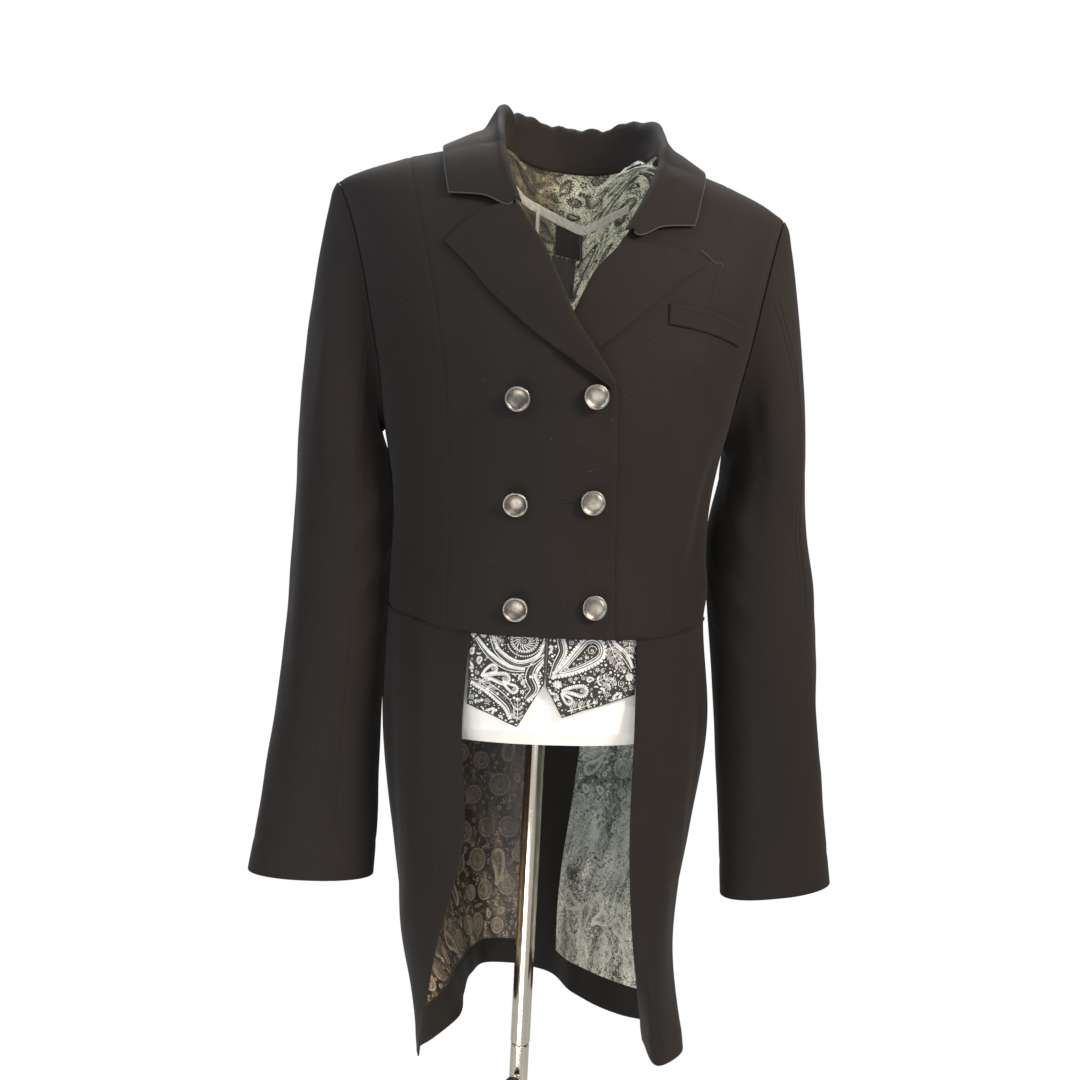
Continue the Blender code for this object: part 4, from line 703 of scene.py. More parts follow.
M = {
    "wool": wool("coat_wool", (0.0092, 0.0075, 0.0069), (0.0172, 0.0143, 0.0129), 0.14),
    "wool_in": wool("coat_wool_inside", (0.0100, 0.0092, 0.0090), (0.0175, 0.0160, 0.0155), 0.15),
    # lighter copy of the coat wool for the collar's rolled edge: painted highlight
    "wool_edge": wool("coat_wool_rim_highlight", (0.030, 0.028, 0.028), (0.060, 0.057, 0.056), 0.35),
    "thread": wool("buttonhole_thread", (0.006, 0.0055, 0.0055), (0.016, 0.015, 0.015), 0.3),
    "thread_pale": wool("pale_thread", (0.13, 0.12, 0.11), (0.25, 0.23, 0.21), 0.3),
    "thread_soft": wool("lapel_thread", (0.045, 0.042, 0.038), (0.10, 0.093, 0.085), 0.3),
    "neck": satin("neck_jacquard", (0.026, 0.026, 0.020), (1.0, 1.0, 0.88), leafy=0.36, span=(0.34, 0.56), cell=(64.0, 28.0), shade_zones=NECK_PAINTED_SHADE),
    # the tails' linings are one jacquard in two copies: the right one darker and warmer, painted shade, the left one
    # paler and cooler, painted light
    "tail_r": satin("tail_jacquard_right_shaded", (0.006, 0.005, 0.0045), (0.50, 0.440, 0.37), leafy=0.14, span=(0.43, 0.70), shade_zones=TAIL_R_PAINTED_SHADE, cell=(52.0, 9.0)),
    "tail_l": satin("tail_jacquard_left_lit", (0.016, 0.019, 0.018), (1.0, 1.0, 0.95), leafy=0.24, span=(0.38, 0.66), shade_zones=TAIL_L_PAINTED_SHADE, cell=(44.0, 14.0)),
    "fig_neck": figure("neck_figure", (0.55, 0.55, 0.47), (0.95, 0.95, 0.84), shade_zones=NECK_PAINTED_SHADE),
    "fig_neck_dark": figure("neck_figure_dark", (0.03, 0.03, 0.028), (0.10, 0.10, 0.09)),
    # the tails' figures likewise: the right copies darker and warmer, painted shade; the left copies paler, painted
    # light
    "fig_tail_r": figure("tail_figure_right", (0.11, 0.10, 0.085), (0.95, 0.87, 0.75), shade_zones=TAIL_R_PAINTED_SHADE, cell=(52.0, 9.0)),
    "fig_tail_l": figure("tail_figure_left", (0.30, 0.33, 0.31), (1.0, 1.0, 0.97), shade_zones=TAIL_L_PAINTED_SHADE, cell=(44.0, 14.0)),
    "fig_tail_r_soft": figure("tail_figure_right_soft", (0.16, 0.14, 0.12), (0.34, 0.30, 0.26), shade_zones=TAIL_R_PAINTED_SHADE),
    "fig_tail_l_soft": figure("tail_figure_left_soft", (0.05, 0.06, 0.056), (0.16, 0.18, 0.17)),
    "vest": satin("vest_ground", (0.016, 0.016, 0.014), (0.040, 0.040, 0.034), rough=(0.42, 0.6), leafy=0.10, sheen=0.1, gleam=0.35),
    "fig_vest": figure("vest_figure", (0.42, 0.43, 0.43), (0.86, 0.87, 0.88), 0.30),
    "fig_vest_soft": figure("vest_figure_soft", (0.14, 0.145, 0.145), (0.36, 0.365, 0.37), 0.36),
    "pewter": metal("button_pewter", (0.13, 0.120, 0.102), (0.44, 0.41, 0.36), (0.26, 0.42), (260.0, 260.0, 260.0), 0.65),
    # darker copy of the pewter for the drooping right-front buttons: painted shade, as they tilt away from the light
    "pewter_shaded": metal("button_pewter_shaded", (0.075, 0.066, 0.058), (0.26, 0.235, 0.205), (0.24, 0.40), (260.0, 260.0, 260.0), 0.65),
    "pewter_rim": metal("button_rim", (0.10, 0.09, 0.08), (0.42, 0.39, 0.35), (0.30, 0.45), (300.0, 300.0, 300.0), 0.65),
    "ribbon": figure("ribbon_satin", (0.42, 0.42, 0.39), (0.78, 0.78, 0.72), 0.32),
    "label_black": satin("label_black", (0.008, 0.008, 0.008), (0.020, 0.020, 0.020), fine=0.0004, leafy=0.0),
    "label_grey": satin("label_grey", (0.030, 0.030, 0.028), (0.085, 0.085, 0.078), fine=0.0004, leafy=0.0),
    "form_white": painted("form_shell", (0.82, 0.805, 0.775), (0.90, 0.89, 0.87), (0.36, 0.52)),
    # the chrome's warm, dimmed tint is painted reflection of warm room light
    "chrome": metal("stand_chrome", (0.79, 0.69, 0.56), (0.99, 0.92, 0.79), (0.10, 0.17), (700.0, 700.0, 5.0), 0.3, 0.0000016),
    "knob": painted("knob_black", (0.012, 0.012, 0.012), (0.025, 0.025, 0.025), (0.35, 0.5)),
    "base_steel": metal("base_satin_steel", (0.42, 0.41, 0.40), (0.66, 0.65, 0.63), (0.26, 0.40), (40.0, 40.0, 40.0), 0.5),
}


# ------------------------------------------------------------------ mesh helpers
def make(name, verts, quads, uv, mats, ids=None, tris=False):
    me = bpy.data.meshes.new(name)
    verts, quads = np.ascontiguousarray(verts, dtype=np.float32), np.ascontiguousarray(quads, dtype=np.int32)
    k = quads.shape[1]
    me.vertices.add(len(verts))
    me.vertices.foreach_set("co", verts.ravel())
    me.loops.add(quads.size)
    me.loops.foreach_set("vertex_index", quads.ravel())
    me.polygons.add(len(quads))
    me.polygons.foreach_set("loop_start", np.arange(0, quads.size, k, dtype=np.int32))
    if ids is not None:
        me.polygons.foreach_set("material_index", np.ascontiguousarray(ids, dtype=np.int32))
    layer = me.uv_layers.new(name="cloth")
    layer.data.foreach_set("uv", np.ascontiguousarray(uv[quads.ravel()], dtype=np.float32).ravel())
    for m in (mats if isinstance(mats, (list, tuple)) else [mats]):
        me.materials.append(M[m])
    me.update(calc_edges=True)
    me.validate()
    me.shade_smooth()
    ob = bpy.data.objects.new(name, me)
    bpy.context.scene.collection.objects.link(ob)
    return ob


def arc(p, axis):
    """Lengths along the rows (axis 1) or columns (axis 0) of a grid."""
    d = np.linalg.norm(np.diff(p, axis=axis), axis=-1)
    z = np.zeros_like(d[:1] if axis == 0 else d[:, :1])
    return np.concatenate([z, np.cumsum(d, axis=axis)], axis=axis)


def stations(length, step, r=0.0008, seams=()):
    """Places along a length: even steps, close ones at both ends and at the seams."""
    step = step * 1.5 if step > 0.0025 else step
    q = list(np.linspace(0, length, max(int(round(length / step)), 4) + 1))
    for e in seams:
        q = [x for x in q if abs(x - e) > 0.0030] + [e + k for k in (-.0026, -.0014, -.0007, 0, .0007, .0014, .0026)]
    ends = [0, 0.15 * r, 0.5 * r, r]
    q = [x for x in q if 2.2 * r < x < length - 2.2 * r] + ends + [length - e for e in ends]
    return np.array(sorted(q))


def shell_piece(name, P, thick, mats, N=None, facing=None, ids=None, closed=False, soft=(1, 1, 1, 1), u=None, v=None, ref=None):
    """A thin closed shell whose outer face is the grid P, with rounded rims.

    soft says which rims are rounded: first row, last row, first column, last column.
    """
    ni, nj = P.shape[:2]
    if N is None:
        N = grid_normals(P, u, v)
        i, j = ni // 2, nj // 2
        if np.dot(N[i, j], facing if facing is not None else P[i, j] - np.array([CX, 0, P[i, j, 2]])) < 0:
            N = -N
    A, B = arc(P, 0), arc(P, 1)
    r = np.max(thick) / 2
    near = np.full((ni, nj), 9.0)
    if soft[0]: near = np.minimum(near, A)
    if soft[1]: near = np.minimum(near, A[-1:] - A)
    if not closed:
        if soft[2]: near = np.minimum(near, B)
        if soft[3]: near = np.minimum(near, B[:, -1:] - B)
    e = np.sqrt(1 - (1 - np.clip(near / r, 0, 1)) ** 2)
    e = np.maximum(e, 0.14)
    t = (np.asarray(thick) * np.ones((ni, nj)) / 2)[..., None]
    mid = P - N * t
    out, inn = mid + N * t * e[..., None], mid - N * t * e[..., None]
    k = ni * nj
    verts = np.concatenate([out.reshape(-1, 3), inn.reshape(-1, 3)])
    bref = B[:, ref:ref + 1] if ref is not None else 0.0
    uv1 = np.stack([B - bref, A], -1).reshape(-1, 2)
    uv = np.concatenate([uv1, uv1])
    cols = nj if closed else nj - 1
    i, j = np.meshgrid(np.arange(ni - 1), np.arange(cols), indexing="ij")
    j2 = (j + 1) % nj
    a, b, c, d = i * nj + j, i * nj + j2, (i + 1) * nj + j2, (i + 1) * nj + j
    f = np.stack([a, b, c, d], -1).reshape(-1, 4)
    m = f[len(f) // 2 + cols // 2]
    nrm = np.cross(verts[m[1]] - verts[m[0]], verts[m[3]] - verts[m[0]])
    if np.dot(nrm, N.reshape(-1, 3)[m[0]]) < 0:
        f = f[:, ::-1]
        turned = True
    else:
        turned = False
    g = f[:, ::-1] + k
    if closed:
        rims = [[j for j in range(nj)] + [0], [(ni - 1) * nj + j for j in range(nj)][::-1] + [(ni - 1) * nj + nj - 1]]
        rims[1] = [(ni - 1) * nj + (q % nj) for q in range(nj, -1, -1)]
    else:
        rims = [list(range(nj)) + [q * nj + nj - 1 for q in range(1, ni)] + [(ni - 1) * nj + q for q in range(nj - 2, -1, -1)]
                + [q * nj for q in range(ni - 2, -1, -1)]]
    rim = []
    for ring in rims:
        x, y = np.array(ring[:-1]), np.array(ring[1:])
        q = np.stack([y, x, x + k, y + k], -1)
        rim.append(q[:, ::-1] if turned else q)
    rim = np.concatenate(rim)
    quads = np.concatenate([f, g, rim])
    if ids is not None:
        w = ids(A, B)                                     # per point: material of the inner face
        w = w.reshape(-1)[a.reshape(-1)]
        mid_ids = np.concatenate([np.zeros(len(f), int), w, np.zeros(len(rim), int)])
    else:
        mid_ids = None
    ob = make(name, verts, quads, uv, mats, mid_ids)
    ob["area"] = float(np.sum(np.linalg.norm(np.cross(verts[f[:, 1]] - verts[f[:, 0]], verts[f[:, 3]] - verts[f[:, 0]]), axis=1)))
    ob["flat"] = (float(np.mean(B[:, -1])), float(np.mean(A[-1])))
    return ob


def tube(name, pts, radius, mat, sides=8, closed=False, squash=1.0, up=None):
    """A round or flattened thread along points."""
    p = np.array(pts, float)
    n = len(p)
    t = (np.roll(p, -1, 0) - np.roll(p, 1, 0)) if closed else np.gradient(p, axis=0)
    t /= np.maximum(np.linalg.norm(t, axis=1, keepdims=True), 1e-12)
    ref = np.tile(np.array([0, 0, 1.0]) if up is None else np.asarray(up, float), (n, 1)) if up is None or np.ndim(up) == 1 else up
    a = np.cross(t, ref)
    bad = np.linalg.norm(a, axis=1) < 1e-3
    a[bad] = np.cross(t[bad], [1.0, 0, 0])
    a /= np.maximum(np.linalg.norm(a, axis=1, keepdims=True), 1e-12)
    b = np.cross(a, t)
    ang = 2 * np.pi * np.arange(sides) / sides
    rr = np.broadcast_to(np.asarray(radius, float), (n,))[:, None, None]
    ring = p[:, None] + rr * (a[:, None] * np.cos(ang)[None, :, None] + b[:, None] * np.sin(ang)[None, :, None] * squash)
    verts = ring.reshape(-1, 3)
    rows = n if closed else n - 1
    i, j = np.meshgrid(np.arange(rows), np.arange(sides), indexing="ij")
    i2, j2 = (i + 1) % n, (j + 1) % sides
    quads = np.stack([i * sides + j, i2 * sides + j, i2 * sides + j2, i * sides + j2], -1).reshape(-1, 4)
    length = np.r_[0, np.cumsum(np.linalg.norm(np.diff(p, axis=0), axis=1))]
    uv = np.stack([np.repeat(length, sides), np.tile(ang / 6.28 * 0.004, n)], -1)
    if not closed:
        caps = []
        for q, rev in ((0, False), (n - 1, True)):
            ids = [q * sides + j for j in range(sides)]
            verts = np.concatenate([verts, p[q:q + 1]])
            uv = np.concatenate([uv, [[length[q], 0]]])
            c = len(verts) - 1
            for j in range(0, sides, 2):
                face = [c, ids[j], ids[(j + 1) % sides], ids[(j + 2) % sides]]
                caps.append(face[::-1] if rev else face)
        quads = np.concatenate([quads, caps])
    return make(name, verts, quads, uv, mat)


def folds(rows, a, b):
    """Soft ridges (+) and troughs (-): start a b, end a b, width and height in mm, bow in mm."""
    total = np.zeros(np.broadcast(a, b).shape)
    for a0, b0, a1, b1, width, high, bow in rows:
        da, db = a1 - a0, b1 - b0
        size = math.hypot(da, db)
        t = ((a - a0) * da + (b - b0) * db) / size ** 2
        side = ((a - a0) * db - (b - b0) * da) / size - bow * 0.001 * 4 * np.clip(t, 0, 1) * (1 - np.clip(t, 0, 1))
        taper = sstep(-0.18, 0.30, t) * (1 - sstep(0.62, 1.18, t))
        total += high * 0.001 * taper * np.exp(-(side / (width * 0.001)) ** 2)
    return total


def ripple(a, b, size, amp, seed, along=1.0):
    """Slight unevenness of hanging cloth."""
    r = np.random.RandomState(seed)
    out = np.zeros(np.broadcast(a, b).shape)
    for k in range(7):
        th = r.uniform(-0.5, 0.5) if k < 4 else r.uniform(0, np.pi)
        f = 2 * np.pi / (size * r.uniform(0.6, 1.7))
        out += r.uniform(0.4, 1.0) * np.sin((a * np.cos(th) + b * np.sin(th) * along) * f + r.uniform(0, 6.28))
    return out * amp / 3.0


def groove(dist, depth=0.0007, width=0.0011):
    """A sewn seam: a narrow valley between two slightly raised allowances."""
    return -depth * np.exp(-(dist / width) ** 2) + 0.00022 * (np.exp(-((np.abs(dist) - 0.0042) / 0.0026) ** 2))


PIECES = {}


def coat(ob, nodes=(), rides=COAT):
    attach(ob, rides)
    if nodes:
        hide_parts(*nodes)
    PIECES[ob.name] = ob
    return ob


# ------------------------------------------------------------------ fronts
# creases of the fronts: x, z to x, z (metres), width, height, bow (mm)
FOLDS_FRONT_L = [(0.1520, 1.1500, 0.1080, 0.9900, 15, 4.2, 9), (0.1440, 1.1150, 0.1250, 0.9600, 9, -3.4, 4),
                 (0.1300, 1.0050, 0.1450, 0.9560, 10, 3.4, -4), (0.1180, 1.1850, 0.1500, 1.1350, 10, 1.6, 5),
                 (0.0700, 1.1650, 0.1450, 1.1900, 14, 1.1, -3), (0.0700, 1.0900, 0.0760, 0.9500, 16, -1.5, 2),
                 (0.0950, 0.9900, 0.1050, 0.9380, 10, 0.9, 0), (0.1000, 1.2900, 0.1350, 1.2400, 16, 1.0, 4),
                 (0.0400, 1.1450, 0.0600, 1.0600, 14, 0.7, 2)]
FOLDS_FRONT_R = [(-0.1480, 1.1500, -0.1150, 1.0100, 16, 1.6, -5), (-0.1350, 1.1000, -0.1180, 0.9500, 13, -1.2, 2),
                 (-0.0200, 1.1250, -0.0150, 0.9500, 20, 0.6, 1), (-0.0600, 1.1600, -0.1300, 1.1950, 15, 0.9, 3),
                 (-0.0950, 1.0100, -0.1080, 0.9400, 11, 0.8, 0), (-0.1150, 1.3050, -0.1450, 1.2500, 15, 0.8, -4),
                 (0.0050, 1.1500, -0.0300, 1.1250, 11, 0.8, 3), (-0.0700, 1.0700, -0.0500, 1.0400, 14, 0.6, 0)]


def front_panel(side, tag):
    seams = 0.192 if side < 0 else 0.160
    L2 = 0.088
    c = stations(seams + L2, 0.0028, 0.0008, (seams,))
    s = stations(0.490, 0.0029, 0.0008) / 0.490
    edge, prin, arm = edge_psi(EDGE_R if side < 0 else EDGE_L, s), princess_psi(side, s), armhole_psi(side, s)
    t1, t2 = np.clip(c / seams, 0, 1)[None, :], np.clip((c - seams) / L2, 0, 1)[None, :]
    psi = edge[:, None] * (1 - t1) + prin[:, None] * (t1 - t2) + arm[:, None] * t2
    ss = np.repeat(s[:, None], len(c), 1)
    p0 = shell(psi, ss)
    x, z = p0[..., 0], p0[..., 2]
    B = arc(p0, 1)
    col = int(np.argmin(np.abs(c - seams)))
    dist = B - B[:, col:col + 1]
    d = over_right(x, z) if side < 0 else 0.0 * x
    d = d + groove(dist, 0.00030)
    d = d + folds(FOLDS_FRONT_R if side < 0 else FOLDS_FRONT_L, x, z)
    d = d + ripple(x, z, 0.085, 0.00035, 11 if side < 0 else 23)
    near_arm = B[:, -1:] - B                                  # a few puckers where the sleeve is set in
    d = d + 0.0005 * np.sin(z * 2 * np.pi / 0.013 + 2 * np.sin(z * 90)) * np.exp(-(near_arm / 0.012) ** 2) * sstep(1.10, 1.16, z)
    d = d + 0.0006 * np.exp(-((B - 0.0045) / 0.0035) ** 2) * (1 - sstep(0.55, 0.60, s))[:, None] * (1.0 if side < 0 else 0.3)
    keep = np.minimum(near_arm / 0.006, 1)
    d = np.where(near_arm < 0.006, d * keep, d)
    P = half_near(body(psi, ss, d), -1)
    P[0, :, 2] += 0.0001
    ob = shell_piece("cloth_front_" + tag, P, 0.0015, ["wool", "wool_in"], u=s, v=c, ref=col, soft=(1, 0, 1, 0), facing=np.array([0, -1.0, 0]),
                     ids=lambda A, B: np.ones(A.shape, int))
    return coat(ob, ("front_centre_" + tag, "front_side_" + tag))


def half_near(p, sign):
    p = p.copy()
    p[..., 1] = np.minimum(p[..., 1], -0.00006) if sign < 0 else np.maximum(p[..., 1], 0.00006)
    return p


front_r, front_l = front_panel(-1, "right"), front_panel(1, "left")

# ------------------------------------------------------------------ back
FOLDS_BACK = [(0.030, 1.010, 0.120, 0.970, 12, 1.6, 6), (-0.040, 1.000, -0.125, 0.965, 12, 1.5, -6),
              (0.120, 1.250, 0.090, 1.130, 16, 1.4, 5), (-0.130, 1.260, -0.090, 1.130, 16, 1.5, -5),
              (0.050, 1.060, 0.110, 1.030, 10, 1.2, 4), (-0.050, 1.055, -0.110, 1.020, 10, 1.2, -4),
              (0.080, 1.330, 0.130, 1.230, 18, 1.0, 0), (-0.070, 1.330, -0.120, 1.240, 18, 1.1, 0),
              (0.020, 1.260, 0.010, 1.120, 20, -0.8, 0)]


def back_psi(side, s, w):
    arm = armhole_psi(side, s, back=True)
    psi = side * 2.0 * (1 - w)[None, :] + arm[:, None] * w[None, :]
    x_top = shell(psi[-1], np.ones(len(w)))[:, 0] - 0.010
    dip = 0.150 * (1 - sstep(0.022, 0.082, np.abs(x_top)))
    return psi, s[:, None] * (1 - dip)[None, :]


def back_panel(side, tag):
    length = 0.235
    seam = 0.118
    c = stations(length, 0.0030, 0.0008, (seam,))
    s = stations(0.490, 0.0030, 0.0008) / 0.490
    psi, ss = back_psi(side, s, c / length)
    p0 = shell(psi, ss)
    B = arc(p0, 1)
    x, z = p0[..., 0], p0[..., 2]
    col = int(np.argmin(np.abs(c - seam)))
    d = groove(B - B[:, col:col + 1], 0.0006) * (1 - sstep(0.80, 0.88, ss)) + groove(B, 0.0004, 0.0014)
    d = d + folds(FOLDS_BACK, x, z) + ripple(x, z, 0.09, 0.0004, 31 if side < 0 else 37)
    near = B[:, -1:] - B
    d = np.where(near < 0.006, d * np.minimum(near / 0.006, 1), d)
    P = half_near(body(psi, ss, d), 1)
    P[..., 0] = np.maximum(P[..., 0], CX + 0.00006) if side > 0 else np.minimum(P[..., 0], CX - 0.00006)
    P[0, :, 2] += 0.0001
    ob = shell_piece("cloth_back_" + tag, P, 0.0015, ["wool", "wool_in"], u=s, v=c, ref=0, soft=(1, 0, 0, 0), facing=np.array([0, 1.0, 0]),
                     ids=lambda A, B: np.ones(A.shape, int))
    return coat(ob, ("back_" + tag,))


back_r, back_l = back_panel(-1, "right"), back_panel(1, "left")

# seam allowances behind the armholes and the waist seam, so that no seam lets light through
TAPES = []
for side, tag in ((-1, "right"), (1, "left")):
    f = float(psi_s(np.array(CX + side * (TAIL_FRONT_X[0 if side < 0 else 1] + 0.004)), np.array(0.936))[0])
    psi = np.linspace(f, side * 1.999, 150)[None, :]
    z0 = shell(psi, np.array([[0.0]]))
    up = body(np.repeat(psi, 2, 0), np.array([[0.0], [0.016]]) * np.ones_like(psi), -0.0021)
    low = up[:1].copy()
    low[..., 2] -= 0.004
    P = np.concatenate([low, up])
    ob = shell_piece("waist_allowance_" + tag, P, 0.0008, ["wool_in"], soft=(1, 1, 1, 1), facing=np.array([0, 0, 0.0]))
    TAPES.append(coat(ob))

# ------------------------------------------------------------------ tails
# creases of the tails: share of the way round, share of the way down, to the same, width, height, bow (mm)
FOLDS_TAIL_R = [(0.10, 0.02, 0.16, 0.75, 14, 2.2, 6), (0.24, 0.05, 0.30, 0.95, 15, -2.0, -4), (0.40, 0.10, 0.38, 0.98, 16, 2.4, 5),
                (0.55, 0.05, 0.60, 0.90, 15, -1.8, 3), (0.72, 0.10, 0.68, 1.00, 16, 2.6, -4), (0.86, 0.15, 0.88, 0.95, 12, -1.6, 2)]
FOLDS_TAIL_L = [(0.08, 0.06, 0.14, 0.85, 14, 2.0, -5), (0.20, 0.02, 0.26, 0.90, 13, -2.4, 5), (0.36, 0.12, 0.36, 0.98, 17, 2.6, -5),
                (0.52, 0.05, 0.58, 0.95, 15, -2.2, 3), (0.70, 0.10, 0.66, 1.00, 16, 2.4, 4), (0.86, 0.20, 0.84, 0.96, 12, -1.4, 0)]
GRIDS = {}


def tail_fine(side):
    v = stations(0.42, 0.0030, 0.0008) / 0.42
    u = stations(0.40, 0.0030, 0.0008) / 0.40
    g = tail_grid(side, u, v)
    n = outward(g, u, v)
    a, b = np.meshgrid(v * 0.42, u * 0.40)
    rows = [(a0 * 0.42, b0 * 0.40, a1 * 0.42, b1 * 0.40, w, h, q) for a0, b0, a1, b1, w, h, q in (FOLDS_TAIL_R if side < 0 else FOLDS_TAIL_L)]
    d = folds(rows, a, b) * sstep(0.0, 0.12, u)[:, None] * 0.8 + ripple(a, b, 0.11, 0.0005, 41 if side < 0 else 47) * sstep(0.0, 0.1, u)[:, None]
    d = d + 0.0004 * np.exp(-((1 - u)[:, None] * 0.40 / 0.010 - 1.4) ** 2 / 0.6)          # the hem's turned-up edge presses through
    g = g + n * d[..., None]
    g[0, :, 2] += WAIST_GAP / 2 - 0.0002
    n = outward(g, u, v)
    return g, n, u, v


def tail_set(side, tag):
    g, n, u, v = tail_fine(side)
    GRIDS["tail_" + tag] = (g, n, u, v)
    shell_piece_args = dict(soft=(0, 1, 1, 1))
    ob = shell_piece("cloth_tail_" + tag, g, CLOTH, ["wool", "wool_in"], N=n, ids=lambda A, B: np.ones(A.shape, int), **shell_piece_args)
    tail = coat(ob, ("tail_" + tag,))
    A, B = arc(g, 0), arc(g, 1)
    hem_u = 1 - (HEM_BAND + 0.004) / 0.395
    ul = stations(0.40 * (hem_u - 0.03), 0.0032) / 0.40 + 0.03
    if side < 0:
        v0, v1 = 0.015, 0.985
    else:
        v0, v1 = 0.015, 1 - VENT_BAND / 0.41
    vl = stations(0.42 * (v1 - v0), 0.0032) / 0.42 + v0

    def at(uu, vv, depth):
        q = grid_at(g, u, v, uu, vv)
        m = grid_at(n, u, v, uu, vv)
        m /= np.linalg.norm(m, axis=-1, keepdims=True)
        return q - m * np.asarray(depth)[..., None], m

    aa, bb = np.meshgrid(vl * 0.42, ul * 0.40)
    soft_in = np.abs(folds([(0.10, 0.30, 0.11, 0.36, 7, 1.6, 2), (0.19, 0.29, 0.18, 0.36, 8, 1.8, 0), (0.27, 0.30, 0.285, 0.36, 7, 1.5, -2),
                            (0.05, 0.31, 0.045, 0.36, 6, 1.4, 0)], aa, bb)) + np.abs(ripple(aa, bb, 0.035, 0.0005, 53))
    fall = 0.0016 * np.exp(-((ul[-1] - ul)[:, None] * 0.40 / 0.007) ** 2)                   # the lining's ease bags over the hem
    near = np.minimum(np.minimum(vl - vl[0], vl[-1] - vl)[None, :] * 0.42, 0.006) / 0.006
    depth = CLOTH + 0.0006 + (soft_in + fall) * near
    q, m = at(ul, vl, depth)
    # the right tail takes the darker lining copy, painted shade
    mat = "tail_r" if side < 0 else "tail_l"
    lin = shell_piece("lining_tail_" + tag, q, 0.0006, [mat], N=-m)
    lin = coat(lin, ("tail_lining_" + tag,))
    GRIDS["lining_tail_" + tag] = (q, -m, ul, vl)
    uh = stations(0.40 * (0.9975 - hem_u + 0.012), 0.0030) / 0.40 + hem_u - 0.012
    vh = stations(0.42 * 0.99, 0.0032) / 0.42 + 0.005
    q, m = at(uh, vh, np.full((len(uh), len(vh)), CLOTH + 0.00015))
    hem = coat(shell_piece("hem_facing_band_" + tag, q, 0.0004, ["wool_in"], N=-m), ("hem_facing_" + tag,))
    own = [lin, hem]
    if side > 0:
        uv_ = stations(0.40 * (hem_u + 0.01 - 0.02), 0.0032) / 0.40 + 0.02
        vv_ = stations(0.42 * (0.995 - v1 + 0.012), 0.0030) / 0.42 + v1 - 0.012
        q, m = at(uv_, vv_, np.full((len(uv_), len(vv_)), CLOTH + 0.00015))
        own.append(coat(shell_piece("vent_facing_band_left", q, 0.0004, ["wool_in"], N=-m), ("vent_facing_left",)))
    return tail, own


def grid_at(g, u, v, uu, vv):
    """Values of a grid at other stations, by straight interpolation both ways."""
    i = np.clip(np.searchsorted(u, uu, side="right") - 1, 0, len(u) - 2)
    j = np.clip(np.searchsorted(v, vv, side="right") - 1, 0, len(v) - 2)
    a = ((uu - u[i]) / (u[i + 1] - u[i]))[:, None, None]
    b = ((vv - v[j]) / (v[j + 1] - v[j]))[None, :, None]
    i, j = i[:, None], j[None, :]
    return (g[i, j] * (1 - a) * (1 - b) + g[i + 1, j] * a * (1 - b) + g[i, j + 1] * (1 - a) * b + g[i + 1, j + 1] * a * b)


tail_r, tail_r_own = tail_set(-1, "right")
tail_l, tail_l_own = tail_set(1, "left")

# ------------------------------------------------------------------ sleeves
# creases of the sleeves: th (0 outer, 0.25 front, 0.5 inner, 0.75 back) and z, to the same, width, height, bow (mm)
FOLDS_SLEEVE_R = [(0.17, 1.240, 0.20, 1.060, 15, 2.6, 5), (0.36, 1.180, 0.30, 1.000, 13, -2.4, -4), (0.44, 1.060, 0.26, 0.995, 10, 2.4, 5),
                  (0.46, 1.010, 0.30, 0.950, 9, 2.0, 4), (0.45, 0.960, 0.33, 0.900, 9, 1.6, 3), (0.14, 0.960, 0.18, 0.740, 16, 1.7, -4),
                  (0.32, 0.900, 0.30, 0.720, 12, -1.6, 3), (0.05, 1.100, 0.08, 0.880, 14, -1.5, 3), (0.60, 1.050, 0.78, 0.980, 12, 2.4, 4),
                  (0.62, 0.980, 0.80, 0.930, 11, 2.0, 4), (0.80, 1.230, 0.78, 1.040, 15, 1.8, -4), (0.24, 1.300, 0.27, 1.230, 12, 1.2, 0)]
FOLDS_SLEEVE_L = [(0.16, 1.220, 0.19, 1.050, 15, 2.4, -5), (0.35, 1.170, 0.30, 0.990, 13, -2.2, 4), (0.45, 1.080, 0.29, 1.010, 10, 2.2, -5),
                  (0.46, 1.010, 0.31, 0.955, 9, 2.2, -4), (0.46, 0.965, 0.35, 0.905, 9, 1.7, -3), (0.10, 1.000, 0.12, 0.760, 15, 1.8, 4),
                  (0.30, 0.920, 0.27, 0.730, 13, -1.8, -3), (0.03, 0.960, 0.06, 0.880, 11, 2.6, 2), (0.60, 1.060, 0.78, 0.990, 12, 2.4, -4),
                  (0.62, 0.985, 0.80, 0.930, 11, 2.0, -4), (0.80, 1.230, 0.78, 1.040, 15, 1.8, 4), (0.02, 0.900, 0.05, 0.820, 9, -1.6, 0)]


